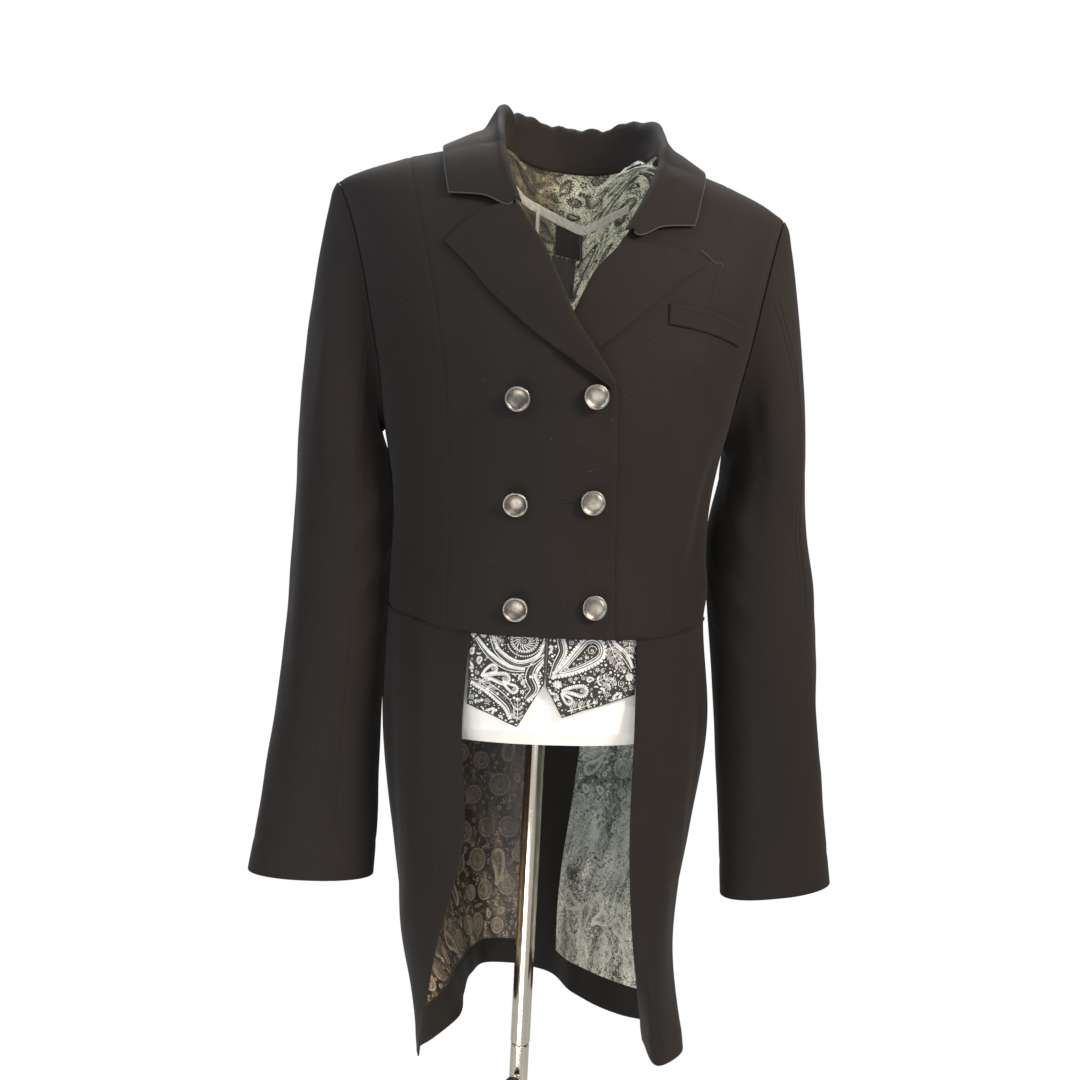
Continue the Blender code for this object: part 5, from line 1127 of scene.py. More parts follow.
def allowance(side, tag, g, n, A):
    """The seam allowances of an armhole, behind the seam on both sides of it."""
    s = np.linspace(1, S_UNDERARM, 300)
    ring = []
    for off in (0.0, 0.036, 0.016, 0.004):
        f = body(armhole_psi(side, s) - side * off, s, -0.0023)
        b = body(armhole_psi(side, s[::-1], back=True) + side * off, s[::-1], -0.0023)
        ring.append(np.concatenate([f, b[1:]]))
    near = [int(np.argmin(np.sum((ring[0] - p) ** 2, axis=1))) for p in g[0]]
    rows = [r[near] for r in ring[1:]]
    for a in (0.002, 0.005, 0.008, 0.011):
        k = [int(np.argmin(np.abs(A[:, j] - a))) for j in range(g.shape[1])]
        rows.append(np.array([g[k[j], j] - n[k[j], j] * 0.0024 for j in range(g.shape[1])]))
    P = np.stack(rows)
    P = (np.roll(P, 1, 1) + 2 * P + np.roll(P, -1, 1)) / 4
    N = grid_normals(np.concatenate([P[:, -1:], P, P[:, :1]], 1))[:, 1:-1]
    j = int(np.argmin(np.abs(np.linspace(-0.3, 0.7, P.shape[1]))))
    if N[4, j, 0] * side < 0:
        N = -N
    TAPES.append(coat(shell_piece("armhole_allowance_" + tag, P, 0.0005, ["wool_in"], N=N, closed=True, soft=(0, 0, 0, 0))))


def sleeve(side, tag):
    girth = 0.36
    base = np.linspace(-0.30, 0.70, 104)[:-1]
    seams = [0.30] if side < 0 else [0.150, 0.172]
    th = list(base)
    for e in seams:
        th = [x for x in th if abs(x - e) > 0.0085] + [e + k / girth for k in (-.0026, -.0014, -.0007, 0, .0007, .0014, .0026)]
    th = [x for x in th if x > -0.30 + 0.006 and x < 0.70 - 0.006] + [-0.30 + k / girth for k in (0, .0007, .0014, .0026)] + [0.70 - k / girth for k in (.0026, .0014, .0007)]
    th = np.array(sorted(th))
    caps = np.r_[0, 0.010, 0.025, np.linspace(0.05, 1, 40)]
    downs = np.r_[np.linspace(0, 1, 94)[1:-1], 0.9978, 0.9990, 0.9997, 1.0]
    g = sleeve_grid(side, th, caps, downs)
    ring = np.concatenate([g[:, -1:], g, g[:, :1]], 1)
    n = grid_normals(ring, None, np.r_[th[-1] - 1, th, th[0] + 1])[:, 1:-1]
    if n[100, np.argmin(np.abs(th)), 0] * side < 0:
        n = -n
    z = g[..., 2]
    T = np.repeat(th[None, :], len(g), 0)
    rows = [(a0 * girth, b0, a1 * girth, b1, w, h, q) for a0, b0, a1, b1, w, h, q in (FOLDS_SLEEVE_R if side < 0 else FOLDS_SLEEVE_L)]
    d = folds(rows, T * girth, z) + folds(rows, (T + 1) * girth, z)
    d = d + ripple(T * girth, z, 0.07, 0.0004, 61 if side < 0 else 67) * np.sin(np.pi * (T + 0.3)) ** 0.5
    A = arc(g, 0)
    d = d * sstep(0.004, 0.035, A) * sstep(0.0, 0.012, A[-1:] - A)
    turn = (T + 0.3) % 1.0
    wrap_d = np.minimum(turn, 1 - turn) * girth
    d = d + groove(wrap_d, 0.0005) * sstep(0.0, 0.01, A)
    if side < 0:
        d = d + groove((T - 0.30) * girth, 0.00022) * sstep(0.0, 0.01, A)
    else:
        d = d + (groove((T - 0.150) * girth, 0.0010, 0.0013) + groove((T - 0.172) * girth, 0.0006, 0.0009)) * sstep(0.93, 0.99, z) * (1 - sstep(1.235, 1.262, z))
    # gathered ease round the sleeve head, and the rolled sleeve head itself
    ease = np.sin(T * 2 * np.pi * 34 + 3 * np.sin(T * 40)) * (0.25 + 0.75 * np.abs(np.sin(T * 21)))
    top = np.exp(-(((T + 0.5) % 1.0 - 0.5) / 0.20) ** 2)
    d = d + 0.00045 * ease * top * np.exp(-((A - 0.008) / 0.009) ** 2) + 0.0011 * top * np.exp(-((A - 0.010) / 0.009) ** 2)
    d = d + 0.00045 * np.exp(-((A[-1:] - A - 0.030) / 0.004) ** 2) * -1.0            # cuff hem's upper edge shows faintly
    g = g + n * d[..., None]
    allowance(side, tag, g, n, A)
    ob = shell_piece("cloth_sleeve_" + tag, g, CLOTH, ["wool", "wool_in", "tail_r"], N=n, closed=True, soft=(0, 1, 0, 0),
                     ids=lambda A, B: np.where(A[-1:] - A < 0.035, 1, 2))
    return coat(ob, ("top_sleeve_" + tag, "under_sleeve_" + tag))


sleeve_r, sleeve_l = sleeve(-1, "right"), sleeve(1, "left")

# ------------------------------------------------------------------ lapels
def lapel(side, tag):
    rows = np.array(LAPEL_R if side < 0 else LAPEL_L)
    ni = 120 if side < 0 else 90
    i0 = np.linspace(0, 1, ni)
    i0 = np.r_[0, 0.0008, 0.0024, i0[1:-1], 1 - 0.0024, 1 - 0.0008, 1]
    r = spline(np.linspace(0, 1, len(rows)), rows, i0)
    R, Mi, O = r[:, 0:2], r[:, 2:4], r[:, 4:6]
    wide = np.linalg.norm(O - R, axis=1)
    d0 = -3 * R + 4 * Mi - O
    d0 /= np.linalg.norm(d0, axis=1, keepdims=True)
    tall = 0.0046 if side < 0 else 0.0042
    if side < 0:
        h_top = 0.0032 + (tall - 0.0032) * sstep(0.004, 0.03, wide)
        leg = sstep(1.210, 1.235, r[:, 1])
        h_edge = np.full(ni + 4, 0.0031)
    else:
        free = sstep(1.212, 1.232, r[:, 1])
        h_top = 0.0026 + (tall - 0.0026) * free
        leg = free
        h_edge = 0.0023 + 0.0004 * free
    # across: distance from the roll (mm) and height (mm)
    under = np.array([(6.0, -3.1), (2.5, -3.0), (0.2, -2.7), (-1.2, -2.0), (-2.0, -0.8)]) * 0.001
    short = np.array([(-0.2, -1.2), (-0.5, -1.15), (-0.9, -1.0), (-1.3, -0.7), (-1.7, -0.2)]) * 0.001
    cols = []
    for k in range(5):
        q = short[k] + (under[k] - short[k]) * leg[:, None]
        cols.append(q)
    for a, share in ((-0.0021, 0.22), (-0.0017, 0.52), (-0.0009, 0.78), (0.0006, 0.96)):
        cols.append(np.stack([np.full(len(r), a), h_top * share], 1))
    reach = np.linspace(0, 1, 44)[1:]
    last = len(reach)
    for k, w in enumerate(reach):
        a = 0.0006 + (wide - 0.0006) * w
        h = h_edge + (h_top * 0.99 - h_edge) * (1 - sstep(0.0, 0.75, w)) + 0.0
        cols.append(np.stack([a, h], 1))
    tail_ = cols.pop()
    for back_off in (0.0012, 0.0006, 0.0002, 0.0):
        cols.append(np.stack([tail_[:, 0] - back_off, tail_[:, 1]], 1))
    prof = np.stack(cols, 1)                                  # station, across, (a, h)
    a, h = prof[..., 0], prof[..., 1]
    # the quadratic from roll to outer edge, followed straight on beyond the roll
    w = np.clip(a / wide[:, None], 0, 1)
    Q = (R[:, None] * ((1 - w) * (1 - 2 * w))[..., None] + Mi[:, None] * (4 * w * (1 - w))[..., None] + O[:, None] * (w * (2 * w - 1))[..., None])
    beyond = np.minimum(a, 0)
    Q = Q + d0[:, None] * beyond[..., None]
    x, z = Q[..., 0], Q[..., 1]
    lift = over_right(x, z) if side < 0 else 0.0 * x
    crease = ripple(x, z, 0.05, 0.00025, 71 if side < 0 else 73) * sstep(0.004, 0.02, a)
    hh = h + np.maximum(crease, -0.0004)
    P = front(x, z, lift + hh)
    thick = 0.0011 + 0.0008 * sstep(0.25, 0.9, w)
    N = grid_normals(P)
    k = (len(r) // 2, 25)
    if N[k][1] > 0:
        N = -N
    ob = shell_piece("cloth_lapel_" + tag, P, thick, ["wool"], N=N, soft=(1, 1, 1, 1))
    return coat(ob, ("lapel_" + tag,))


lapel_r, lapel_l = lapel(-1, "right"), lapel(1, "left")

# ------------------------------------------------------------------ collar
def collar():
    rows = np.array(COLLAR)
    ts = np.r_[0, np.cumsum(np.linalg.norm(np.diff(rows[:, 3:6], axis=0), axis=1))]
    f = np.linspace(0, 1, 184)
    f = np.r_[0, 0.0006, 0.0018, f[1:-1], 1 - 0.0018, 1 - 0.0006, 1]
    cr = spline(ts / ts[-1], rows, f)
    seat = keep_off(cr[:, 0:3], 0.0016, 0.0016)
    fold = keep_off(cr[:, 3:6], 0.0046)
    tip = keep_off(cr[:, 6:9], 0.0030, 0.0030)
    out = (tip - fold) * np.array([1, 1, 0])
    out /= np.maximum(np.linalg.norm(out, axis=1, keepdims=True), 1e-9)
    x = fold[:, 0]
    back = sstep(-0.02, 0.03, fold[:, 1])
    # the fold is puckered behind the neck: two pinches and a soft uneven line
    pinch = -0.0046 * np.exp(-((x + 0.0475) / 0.0035) ** 2) - 0.0040 * np.exp(-((x - 0.0405) / 0.0040) ** 2)
    pinch = pinch + 0.0011 * np.sin(x * 210 + 0.6) + 0.0007 * np.sin(x * 470 + 1.0) + 0.0016 * np.exp(-((x - 0.056) / 0.006) ** 2)
    fold = fold + np.array([0, 0, 1.0]) * (pinch * back)[:, None]
    lim = 0.0080 + 0.014 * sstep(0.0, 0.05, tip[:, 1])
    key = [seat, seat * 0.45 + fold * 0.55, fold - np.array([0, 0, 0.0012]), fold + out * 0.0024 + np.array([0, 0, 0.0006]),
           fold + out * 0.0048 - np.array([0, 0, 0.0030]), keep_off(fold + (tip - fold) * 0.50, 0.0040, lim), tip]
    key[4] = keep_off(key[4], 0.0042)
    key = np.stack(key, 1)
    length = np.concatenate([np.zeros((len(f), 1)), np.cumsum(np.linalg.norm(np.diff(key, axis=1), axis=-1), axis=1)], 1)
    n_in, n_out = 16, 30
    P = np.empty((len(f), 0, 3))
    grid = []
    for i in range(len(f)):
        L = length[i]
        q = np.r_[np.linspace(0, L[2], n_in), np.linspace(L[2], L[4], 11)[1:], np.linspace(L[4], L[6] - 0.0012, n_out)[1:], L[6] - 0.0006, L[6] - 0.0002, L[6]]
        grid.append(spline(L, key[i], q))
    P = np.stack(grid)
    n = grid_normals(P)
    c = len(f) // 2
    if n[c, -8, 1] < 0:
        n = -n
    A = np.linspace(0, 1, P.shape[1])
    s_len = np.r_[0, np.cumsum(np.linalg.norm(np.diff(fold, axis=0), axis=1))]
    wr = folds([(0.118, 0.10, 0.140, 0.30, 3.0, -1.3, 1), (0.124, 0.16, 0.150, 0.24, 2.5, 1.0, 0), (0.160, 0.12, 0.182, 0.26, 3.5, -1.0, 0),
                (0.096, 0.14, 0.112, 0.26, 3.0, -0.9, 0)], s_len[:, None], A[None, :] * 0.10 / 0.10)
    rip = ripple(s_len[:, None] + 0 * A[None, :], A[None, :] * 0.09, 0.035, 0.00030, 83)
    d = (wr + rip) * sstep(0.0, 0.05, A)[None, :]
    thick = 0.0018
    outer = P + n * (thick + d[..., None])
    ob = shell_piece("cloth_collar", outer, thick, ["wool"], N=n, soft=(1, 1, 1, 1))
    return coat(ob, ("collar",)), outer, n


collar_ob, collar_grid, collar_n = collar()

# the fine pale edge along the collar leaves: a lighter copy of the coat wool, a painted highlight on the rolled edge
edge = collar_grid[:, -1] - collar_n[:, -1] * 0.0009
for tag, rows in (("right", slice(0, 74)), ("left", slice(-74, None))):
    e = edge[rows]
    end = collar_grid[0 if tag == "right" else -1][::-1][:34] - collar_n[0 if tag == "right" else -1][::-1][:34] * 0.0009
    path = np.concatenate([end[::-1], e[1:]]) if tag == "right" else np.concatenate([e[:-1], end])
    coat(tube("collar_edge_" + tag, path, 0.00075, "wool_edge", 8))


# ------------------------------------------------------------------ brocade figures
class Figures:
    """Flat figures drawn in metres on a cloth's own plane, laid on it afterwards as raised thread."""

    def __init__(self):
        self.v, self.f = [], []

    def _add(self, pts, quads):
        k = sum(len(q) for q in self.v)
        self.v.append(np.asarray(pts, float))
        self.f.append(np.asarray(quads, int) + k)

    step, sides = 0.0010, 8

    def ribbon(self, pts, width, closed=False):
        p = np.asarray(pts, float)
        if closed:
            p = np.concatenate([p, p[:1]])
        L = np.r_[0, np.cumsum(np.linalg.norm(np.diff(p, axis=0), axis=1))]
        if L[-1] < 1e-6:
            return
        n = max(int(L[-1] / self.step), 3)
        q = np.stack([np.interp(np.linspace(0, L[-1], n + 1), L, p[:, k]) for k in (0, 1)], -1)
        w = np.interp(np.linspace(0, L[-1], n + 1), L, np.broadcast_to(np.asarray(width, float), (len(p),))) / 2
        t = np.gradient(q, axis=0)
        if closed:
            t[0] = t[-1] = q[1] - q[-2]
        t /= np.maximum(np.linalg.norm(t, axis=1, keepdims=True), 1e-12)
        m = np.stack([-t[:, 1], t[:, 0]], -1)
        v = np.stack([q - m * w[:, None], q + m * w[:, None]], 1).reshape(-1, 2)
        i = np.arange(n)
        self._add(v, np.stack([2 * i, 2 * i + 2, 2 * i + 3, 2 * i + 1], -1))

    def disc(self, c, r, aspect=1.0, turn=0.0):
        sides = self.sides
        a = 2 * np.pi * np.arange(sides) / sides
        x, y = np.cos(a) * r, np.sin(a) * r * aspect
        p = np.stack([c[0] + x * math.cos(turn) - y * math.sin(turn), c[1] + x * math.sin(turn) + y * math.cos(turn)], -1)
        p = np.concatenate([p, [c]])
        self._add(p, [[sides, k, k + 1, (k + 2) % sides] for k in range(0, sides, 2)])

    def leaf(self, a, b, wide, bow=0.0, hollow=False):
        """A pointed leaf from a to b."""
        a, b = np.asarray(a, float), np.asarray(b, float)
        t = np.linspace(0, 1, 15)
        d = b - a
        m = np.array([-d[1], d[0]])
        mid = a + d * t[:, None] + m * (bow * 4 * t * (1 - t))[:, None]
        m = m / np.linalg.norm(m)
        w = wide / 2 * np.sin(np.pi * t) ** 0.8
        if hollow:
            self.ribbon(np.concatenate([mid + m * w[:, None], (mid - m * w[:, None])[::-1]]), 0.0006, True)
            self.ribbon(mid[2:-2], 0.0004)
        else:
            v = np.stack([mid - m * w[:, None], mid + m * w[:, None]], 1).reshape(-1, 2)
            i = np.arange(14)
            self._add(v, np.stack([2 * i, 2 * i + 2, 2 * i + 3, 2 * i + 1], -1))

    def beads(self, pts, r, gap, side=1.0, off=0.0):
        p = np.asarray(pts, float)
        L = np.r_[0, np.cumsum(np.linalg.norm(np.diff(p, axis=0), axis=1))]
        n = max(int(L[-1] / gap), 1)
        s = (np.arange(n) + 0.5) * L[-1] / n
        q = np.stack([np.interp(s, L, p[:, k]) for k in (0, 1)], -1)
        t = np.stack([np.interp(s, L, np.gradient(p[:, k])) for k in (0, 1)], -1)
        t /= np.maximum(np.linalg.norm(t, axis=1, keepdims=True), 1e-12)
        q = q + np.stack([-t[:, 1], t[:, 0]], -1) * side * off
        for c in q:
            self.disc(c, r)

    def spiral(self, c, r, turns, width, start=0.0, way=1.0):
        t = np.linspace(0, 1, int(30 * turns) + 6)
        a = start + way * t * turns * 2 * np.pi
        rr = r * (1 - 0.86 * t)
        self.ribbon(np.stack([c[0] + rr * np.cos(a), c[1] + rr * np.sin(a)], -1), width)
        self.disc((c[0] + rr[-1] * np.cos(a[-1]), c[1] + rr[-1] * np.sin(a[-1])), width * 0.9)


def drop_outline(c, R, tail, turn, curl, scale=1.0, n=64):
    """A curled drop: round body of radius R, a tail that bends by curl as it narrows."""
    s = np.concatenate([np.linspace(0, 1, n // 2) ** 1.0, []])
    body_s = -np.cos(np.linspace(0, np.pi / 2, 18)) * R * scale
    tail_s = np.linspace(0, 1, n)[1:] * tail * (0.35 + 0.65 * scale)
    ss = np.concatenate([body_s, tail_s])
    w = np.where(ss < 0, np.sqrt(np.maximum((R * scale) ** 2 - np.minimum(ss, 0) ** 2, 0)),
                 R * scale * (1 - np.clip(ss / max(tail_s[-1], 1e-9), 0, 1) ** 1.25) ** 0.95)
    th = turn + curl * (np.clip(ss, 0, None) / tail) ** 1.6
    ds = np.diff(ss, prepend=ss[0])
    px = np.cumsum(np.cos(th) * ds)
    py = np.cumsum(np.sin(th) * ds)
    k = len(body_s) - 1
    px, py = px - px[k], py - py[k]
    left = np.stack([px - np.sin(th) * w, py + np.cos(th) * w], -1)
    right = np.stack([px + np.sin(th) * w, py - np.cos(th) * w], -1)
    return np.asarray(c) + np.concatenate([left[::-1], right[1:]])


def paisley(bright, soft, c, R, tail, turn, curl, rich=2, bead=0.0010):
    """A whole drop: beads, bands, a dotted line, and small work inside."""
    o = drop_outline(c, R, tail, turn, curl)
    bright.ribbon(o, 0.11 * R + 0.0003)
    bright.beads(o, bead, bead * 2.15, side=-1.0, off=bead * 1.05)
    for q, w in ((0.80, 0.085), (0.62, 0.045)):
        bright.ribbon(drop_outline(c, R, tail, turn, curl, q), w * R + 0.0002)
    if rich > 1:
        soft.beads(drop_outline(c, R, tail, turn, curl, 0.71), 0.0004, 0.0012, 0, 0)
    inner = 0.42 * R
    bright.spiral(c, inner, 1.3, 0.0005, turn + 2.6, 1.0)
    soft.disc(c, inner * 0.30)
    for k in range(5):
        a = turn + k * 1.2566
        soft.disc((c[0] + math.cos(a) * inner * 0.75, c[1] + math.sin(a) * inner * 0.75), 0.0006)
    if rich > 1:
        for k, t in enumerate((0.30, 0.48, 0.64)):
            th = turn + curl * t ** 1.6 * 0.6
            p = (c[0] + math.cos(th) * tail * t, c[1] + math.sin(th) * tail * t)
            bright.spiral(p, 0.20 * R * (1 - t * 0.7), 1.1, 0.00045, th + k, -1.0)


def medallion(bright, soft, c, r, turn, petals=16, arms=3):
    """A round flower of swirled rays inside two rings."""
    a = np.linspace(0, 2 * np.pi, 40)[:-1]
    ring = lambda q: np.stack([c[0] + r * q * np.cos(a + turn), c[1] + r * q * 0.86 * np.sin(a + turn)], -1)
    bright.ribbon(ring(1.0), 0.0007, True)
    bright.beads(np.concatenate([ring(1.12), ring(1.12)[:1]]), 0.0008, 0.0022)
    for k in range(petals):
        b = turn + 2 * np.pi * k / petals
        t = np.linspace(0.34, 0.92, 8)
        w = b + 0.9 * t
        bright.ribbon(np.stack([c[0] + r * t * np.cos(w), c[1] + r * t * 0.86 * np.sin(w)], -1), 0.0006 + 0.0004 * np.sin(np.pi * (t - 0.34) / 0.58))
    bright.spiral(c, r * 0.30, 1.4, 0.0006, turn)


def spray(bright, soft, root, turn, size, leaves=5, curl=0.6):
    """A stem with leaves on both sides and a bud."""
    t = np.linspace(0, 1, 24)
    th = turn + curl * t
    x = root[0] + np.cumsum(np.cos(th)) * size / 24
    y = root[1] + np.cumsum(np.sin(th)) * size / 24
    bright.ribbon(np.stack([x, y], -1), np.linspace(0.0009, 0.0004, 24))
    for k in range(leaves):
        i = int(3 + k * 18 / leaves)
        for side in (1, -1):
            a = th[i] + side * (0.95 - 0.25 * k / leaves)
            q = size * (0.34 - 0.035 * k)
            (bright if k % 2 == 0 else soft).leaf((x[i], y[i]), (x[i] + math.cos(a) * q, y[i] + math.sin(a) * q), q * 0.34, 0.12 * side, hollow=k % 2 == 0 and size > 0.018)
    bright.disc((x[-1], y[-1]), 0.0013)


def crescent(bright, soft, pts, width, bead=0.0011):
    """A curved band with a beaded edge, wider in its middle."""
    p = np.asarray(pts, float)
    t = np.linspace(0, 1, 60)
    q = spline(np.linspace(0, 1, len(p)), p, t)
    g = np.gradient(q, axis=0)
    g /= np.linalg.norm(g, axis=1, keepdims=True)
    m = np.stack([-g[:, 1], g[:, 0]], -1)
    w = width / 2 * (0.35 + 0.65 * np.sin(np.pi * t) ** 0.7)
    a, b = q + m * w[:, None], q - m * w[:, None]
    bright.ribbon(a, 0.0011)
    bright.ribbon(b, 0.0007)
    bright.ribbon(q + m * (w * 0.45)[:, None], 0.0009)
    soft.beads(q - m * (w * 0.2)[:, None], 0.00045, 0.0014)
    bright.beads(a, bead, bead * 2.1, side=1.0, off=bead)


def fill(bright, soft, box, keep, sizes, seed, tries=1500, air=1.10, dots=True):
    """Small figures in whatever room is left, the largest first."""
    r = np.random.RandomState(seed)
    taken = [np.concatenate(bright.v + soft.v)] if bright.v or soft.v else [np.zeros((0, 2))]
    for size in sizes:
        tree = KDTree(sum(len(q) for q in taken) + 1)
        for i, q in enumerate(np.concatenate(taken)):
            tree.insert((q[0], q[1], 0.0), i)
        tree.insert((9.0, 9.0, 0.0), 10 ** 8)
        tree.balance()
        new = []
        for _ in range(tries):
            c = (r.uniform(box[0], box[1]), r.uniform(box[2], box[3]))
            if tree.find((c[0], c[1], 0.0))[2] < size * air or any((c[0] - q[0]) ** 2 + (c[1] - q[1]) ** 2 < (2.1 * size * air) ** 2 for q in new):
                continue
            if not keep(np.array([c[0]]), np.array([c[1]]))[0]:
                continue
            new.append(c)
            turn, kind = r.uniform(0, 6.28), r.randint(4)
            if size > 0.0036:
                if kind < 2:
                    paisley(bright, soft, (c[0] - math.cos(turn) * size * 0.35, c[1] - math.sin(turn) * size * 0.35), size * 0.50, size * 1.15, turn, 0.9 if kind else -0.9, 1, size * 0.11)
                elif kind == 2:
                    spray(bright, soft, (c[0] - math.cos(turn) * size * 0.9, c[1] - math.sin(turn) * size * 0.9), turn, size * 1.9, 4, 0.6)
                else:
                    medallion(bright, soft, c, size * 0.80, turn, 12)
            elif size > 0.0018:
                if kind == 0:
                    bright.spiral(c, size * 0.9, 1.5, size * 0.20, turn)
                elif kind == 1:
                    for k in range(5):
                        a = turn + k * 1.2566
                        bright.disc((c[0] + math.cos(a) * size * 0.55, c[1] + math.sin(a) * size * 0.55), size * 0.30)
                    soft.disc(c, size * 0.24)
                else:
                    bright.leaf((c[0] - math.cos(turn) * size, c[1] - math.sin(turn) * size), (c[0] + math.cos(turn) * size, c[1] + math.sin(turn) * size), size * 0.62, 0.18)
                    soft.leaf((c[0], c[1]), (c[0] + math.cos(turn + 1.9) * size * 0.9, c[1] + math.sin(turn + 1.9) * size * 0.9), size * 0.4, 0.1)
            else:
                (bright if kind else soft).disc(c, size * (0.62 if kind > 1 else 0.85), 0.6 if kind == 2 else 1.0, turn)
        if new:
            n = np.linspace(0, 2 * np.pi, 9)[:-1]
            taken.append(np.concatenate([np.array(new) + size * 0.9 * np.array([math.cos(a), math.sin(a)]) for a in n] + [np.array(new)]))


def lay(fig, name, mat, surface, keep=None, scale=1.0):
    """Put the figures on a cloth: surface(a, b) gives points just above it."""
    v, f = np.concatenate(fig.v), np.concatenate(fig.f)
    if keep is not None:
        ok = keep(v[:, 0], v[:, 1])
        f = f[np.all(ok[f], axis=1)]
    used, f = np.unique(f.ravel(), return_inverse=True)
    v = v[used]
    f = f.reshape(-1, 4)
    P = surface(v[:, 0], v[:, 1])
    ob = make(name, P, f, v, mat)
    return coat(ob, ())


def on_grid(g, u, v, uu, vv):
    i = np.clip(np.searchsorted(u, uu, side="right") - 1, 0, len(u) - 2)
    j = np.clip(np.searchsorted(v, vv, side="right") - 1, 0, len(v) - 2)
    a = ((uu - u[i]) / (u[i + 1] - u[i]))[:, None]
    b = ((vv - v[j]) / (v[j + 1] - v[j]))[:, None]
    return g[i, j] * (1 - a) * (1 - b) + g[i + 1, j] * a * (1 - b) + g[i, j + 1] * (1 - a) * b + g[i + 1, j + 1] * a * b


# ------------------------------------------------------------------ vest points
def vest(rows, name, tag):
    rows = np.array(rows)
    x = stations(rows[-1, 0] - rows[0, 0], 0.0012, 0.0006) + rows[0, 0]
    low = np.interp(x, rows[:, 0], rows[:, 1])
    w = stations(0.09, 0.0022, 0.0006) / 0.09
    z = VEST_TOP + (low - VEST_TOP)[None, :] * w[:, None]
    xx = np.repeat(x[None, :], len(w), 0)
    d = -0.0047 + ripple(xx, z, 0.04, 0.0003, 91)
    P = front(xx, z, d)
    ob = shell_piece("cloth_" + name, P, 0.0012, ["vest"], facing=np.array([0, -1.0, 0]), soft=(1, 1, 1, 1))
    return coat(ob, (name,)), (lambda a, b: np.interp(a, rows[:, 0], rows[:, 1]), rows[0, 0], rows[-1, 0])


vest_r, (low_r, xr0, xr1) = vest(VEST_R, "vest_point_right", "right")
vest_l, (low_l, xl0, xl1) = vest(VEST_L, "vest_point_left", "left")

b, s = Figures(), Figures()
# the right point: a round flower in sweeping leaves, a beaded band, small drops on a stem
medallion(b, s, (-0.0255, 0.9300), 0.0105, 0.4, 18)
b.beads(np.stack([-0.0255 + 0.0150 * np.cos(np.linspace(-2.9, -0.2, 30)), 0.9300 + 0.0138 * np.sin(np.linspace(-2.9, -0.2, 30))], -1), 0.0007, 0.0019)
crescent(b, s, [(-0.0560, 0.9360), (-0.0480, 0.9190), (-0.0300, 0.9090), (-0.0120, 0.9160), (-0.0060, 0.9330)], 0.0050, 0.0007)
crescent(b, s, [(-0.0680, 0.9300), (-0.0560, 0.9160), (-0.0400, 0.9060), (-0.0240, 0.9040)], 0.0042, 0.0008)
crescent(b, s, [(-0.0060, 0.9180), (-0.0160, 0.9080), (-0.0190, 0.8980), (-0.0150, 0.8880), (-0.0220, 0.8790)], 0.0080, 0.0012)
crescent(b, s, [(-0.0330, 0.8620), (-0.0360, 0.8720), (-0.0440, 0.8800), (-0.0560, 0.8880), (-0.0700, 0.8930)], 0.0078, 0.0011)
paisley(b, s, (-0.0420, 0.8960), 0.0048, 0.0170, 2.95, 0.5, 1, 0.0007)
paisley(b, s, (-0.0330, 0.8875), 0.0034, 0.0120, 2.70, -0.4, 1, 0.0006)
paisley(b, s, (-0.0520, 0.9040), 0.0036, 0.0120, 3.60, 0.5, 1, 0.0006)
spray(b, s, (-0.0290, 0.8590), 1.45, 0.0200, 4, 0.3)
spray(b, s, (-0.0640, 0.8960), -0.9, 0.0220, 4, 0.5)
spray(b, s, (-0.0300, 0.9010), -0.6, 0.0130, 4, -0.8)
spray(b, s, (-0.0480, 0.9420), -1.9, 0.0200, 4, 0.5)
spray(b, s, (-0.0080, 0.9000), 2.9, 0.0110, 3, 0.7)
for c, r, t in (((-0.0250, 0.8930), 0.0022, 1.0), ((-0.0280, 0.8790), 0.0019, 2.0), ((-0.0120, 0.8950), 0.0020, 0.3), ((-0.0690, 0.8790), 0.0026, 2.2),
                ((-0.0560, 0.8760), 0.0028, 4.0), ((-0.0620, 0.8830), 0.0020, 1.0), ((-0.0450, 0.9290), 0.0022, 2.4), ((-0.0650, 0.9420), 0.0026, 0.4)):
    b.spiral(c, r, 1.6, 0.0005, t)
keep_r = lambda a, z: (a > xr0 + 0.0007) & (a < xr1 - 0.0007) & (z > low_r(a, z) + 0.0009) & (z < VEST_TOP - 0.002)
fill(b, s, (xr0, xr1, 0.855, VEST_TOP), keep_r, (0.0056, 0.0038, 0.0024, 0.0014, 0.0008), 11, 1500, 1.22)
up = lambda a, z: front(a, z, -0.00425)
vest_fig_r = [lay(b, "vest_figure_right", "fig_vest", up, keep_r),
              lay(s, "vest_figure_soft_right", "fig_vest_soft", up, keep_r)]

b, s = Figures(), Figures()
# the left point: one large leaning drop, smaller drops under it, leaf sprays to the side
paisley(b, s, (0.0340, 0.9235), 0.0112, 0.0400, -2.42, -0.30, 2, 0.0014)
paisley(b, s, (0.0270, 0.8880), 0.0046, 0.0180, 3.05, 0.35, 1, 0.0008)
paisley(b, s, (0.0160, 0.8790), 0.0030, 0.0100, 2.50, -0.4, 1, 0.0006)
crescent(b, s, [(0.0120, 0.9440), (0.0060, 0.9330), (0.0080, 0.9220), (0.0030, 0.9100), (-0.0010, 0.8980)], 0.0058, 0.0009)
crescent(b, s, [(0.0460, 0.9420), (0.0530, 0.9290), (0.0640, 0.9200), (0.0720, 0.9080)], 0.0052, 0.0008)
spray(b, s, (0.0500, 0.9310), -1.25, 0.0300, 6, 0.4)
spray(b, s, (0.0560, 0.9020), -2.0, 0.0200, 5, -0.6)
spray(b, s, (0.0380, 0.8960), 0.2, 0.0170, 4, 0.7)
spray(b, s, (0.0700, 0.9380), -1.8, 0.0240, 5, 0.5)
spray(b, s, (0.0140, 0.8700), 0.25, 0.0260, 5, 0.15)
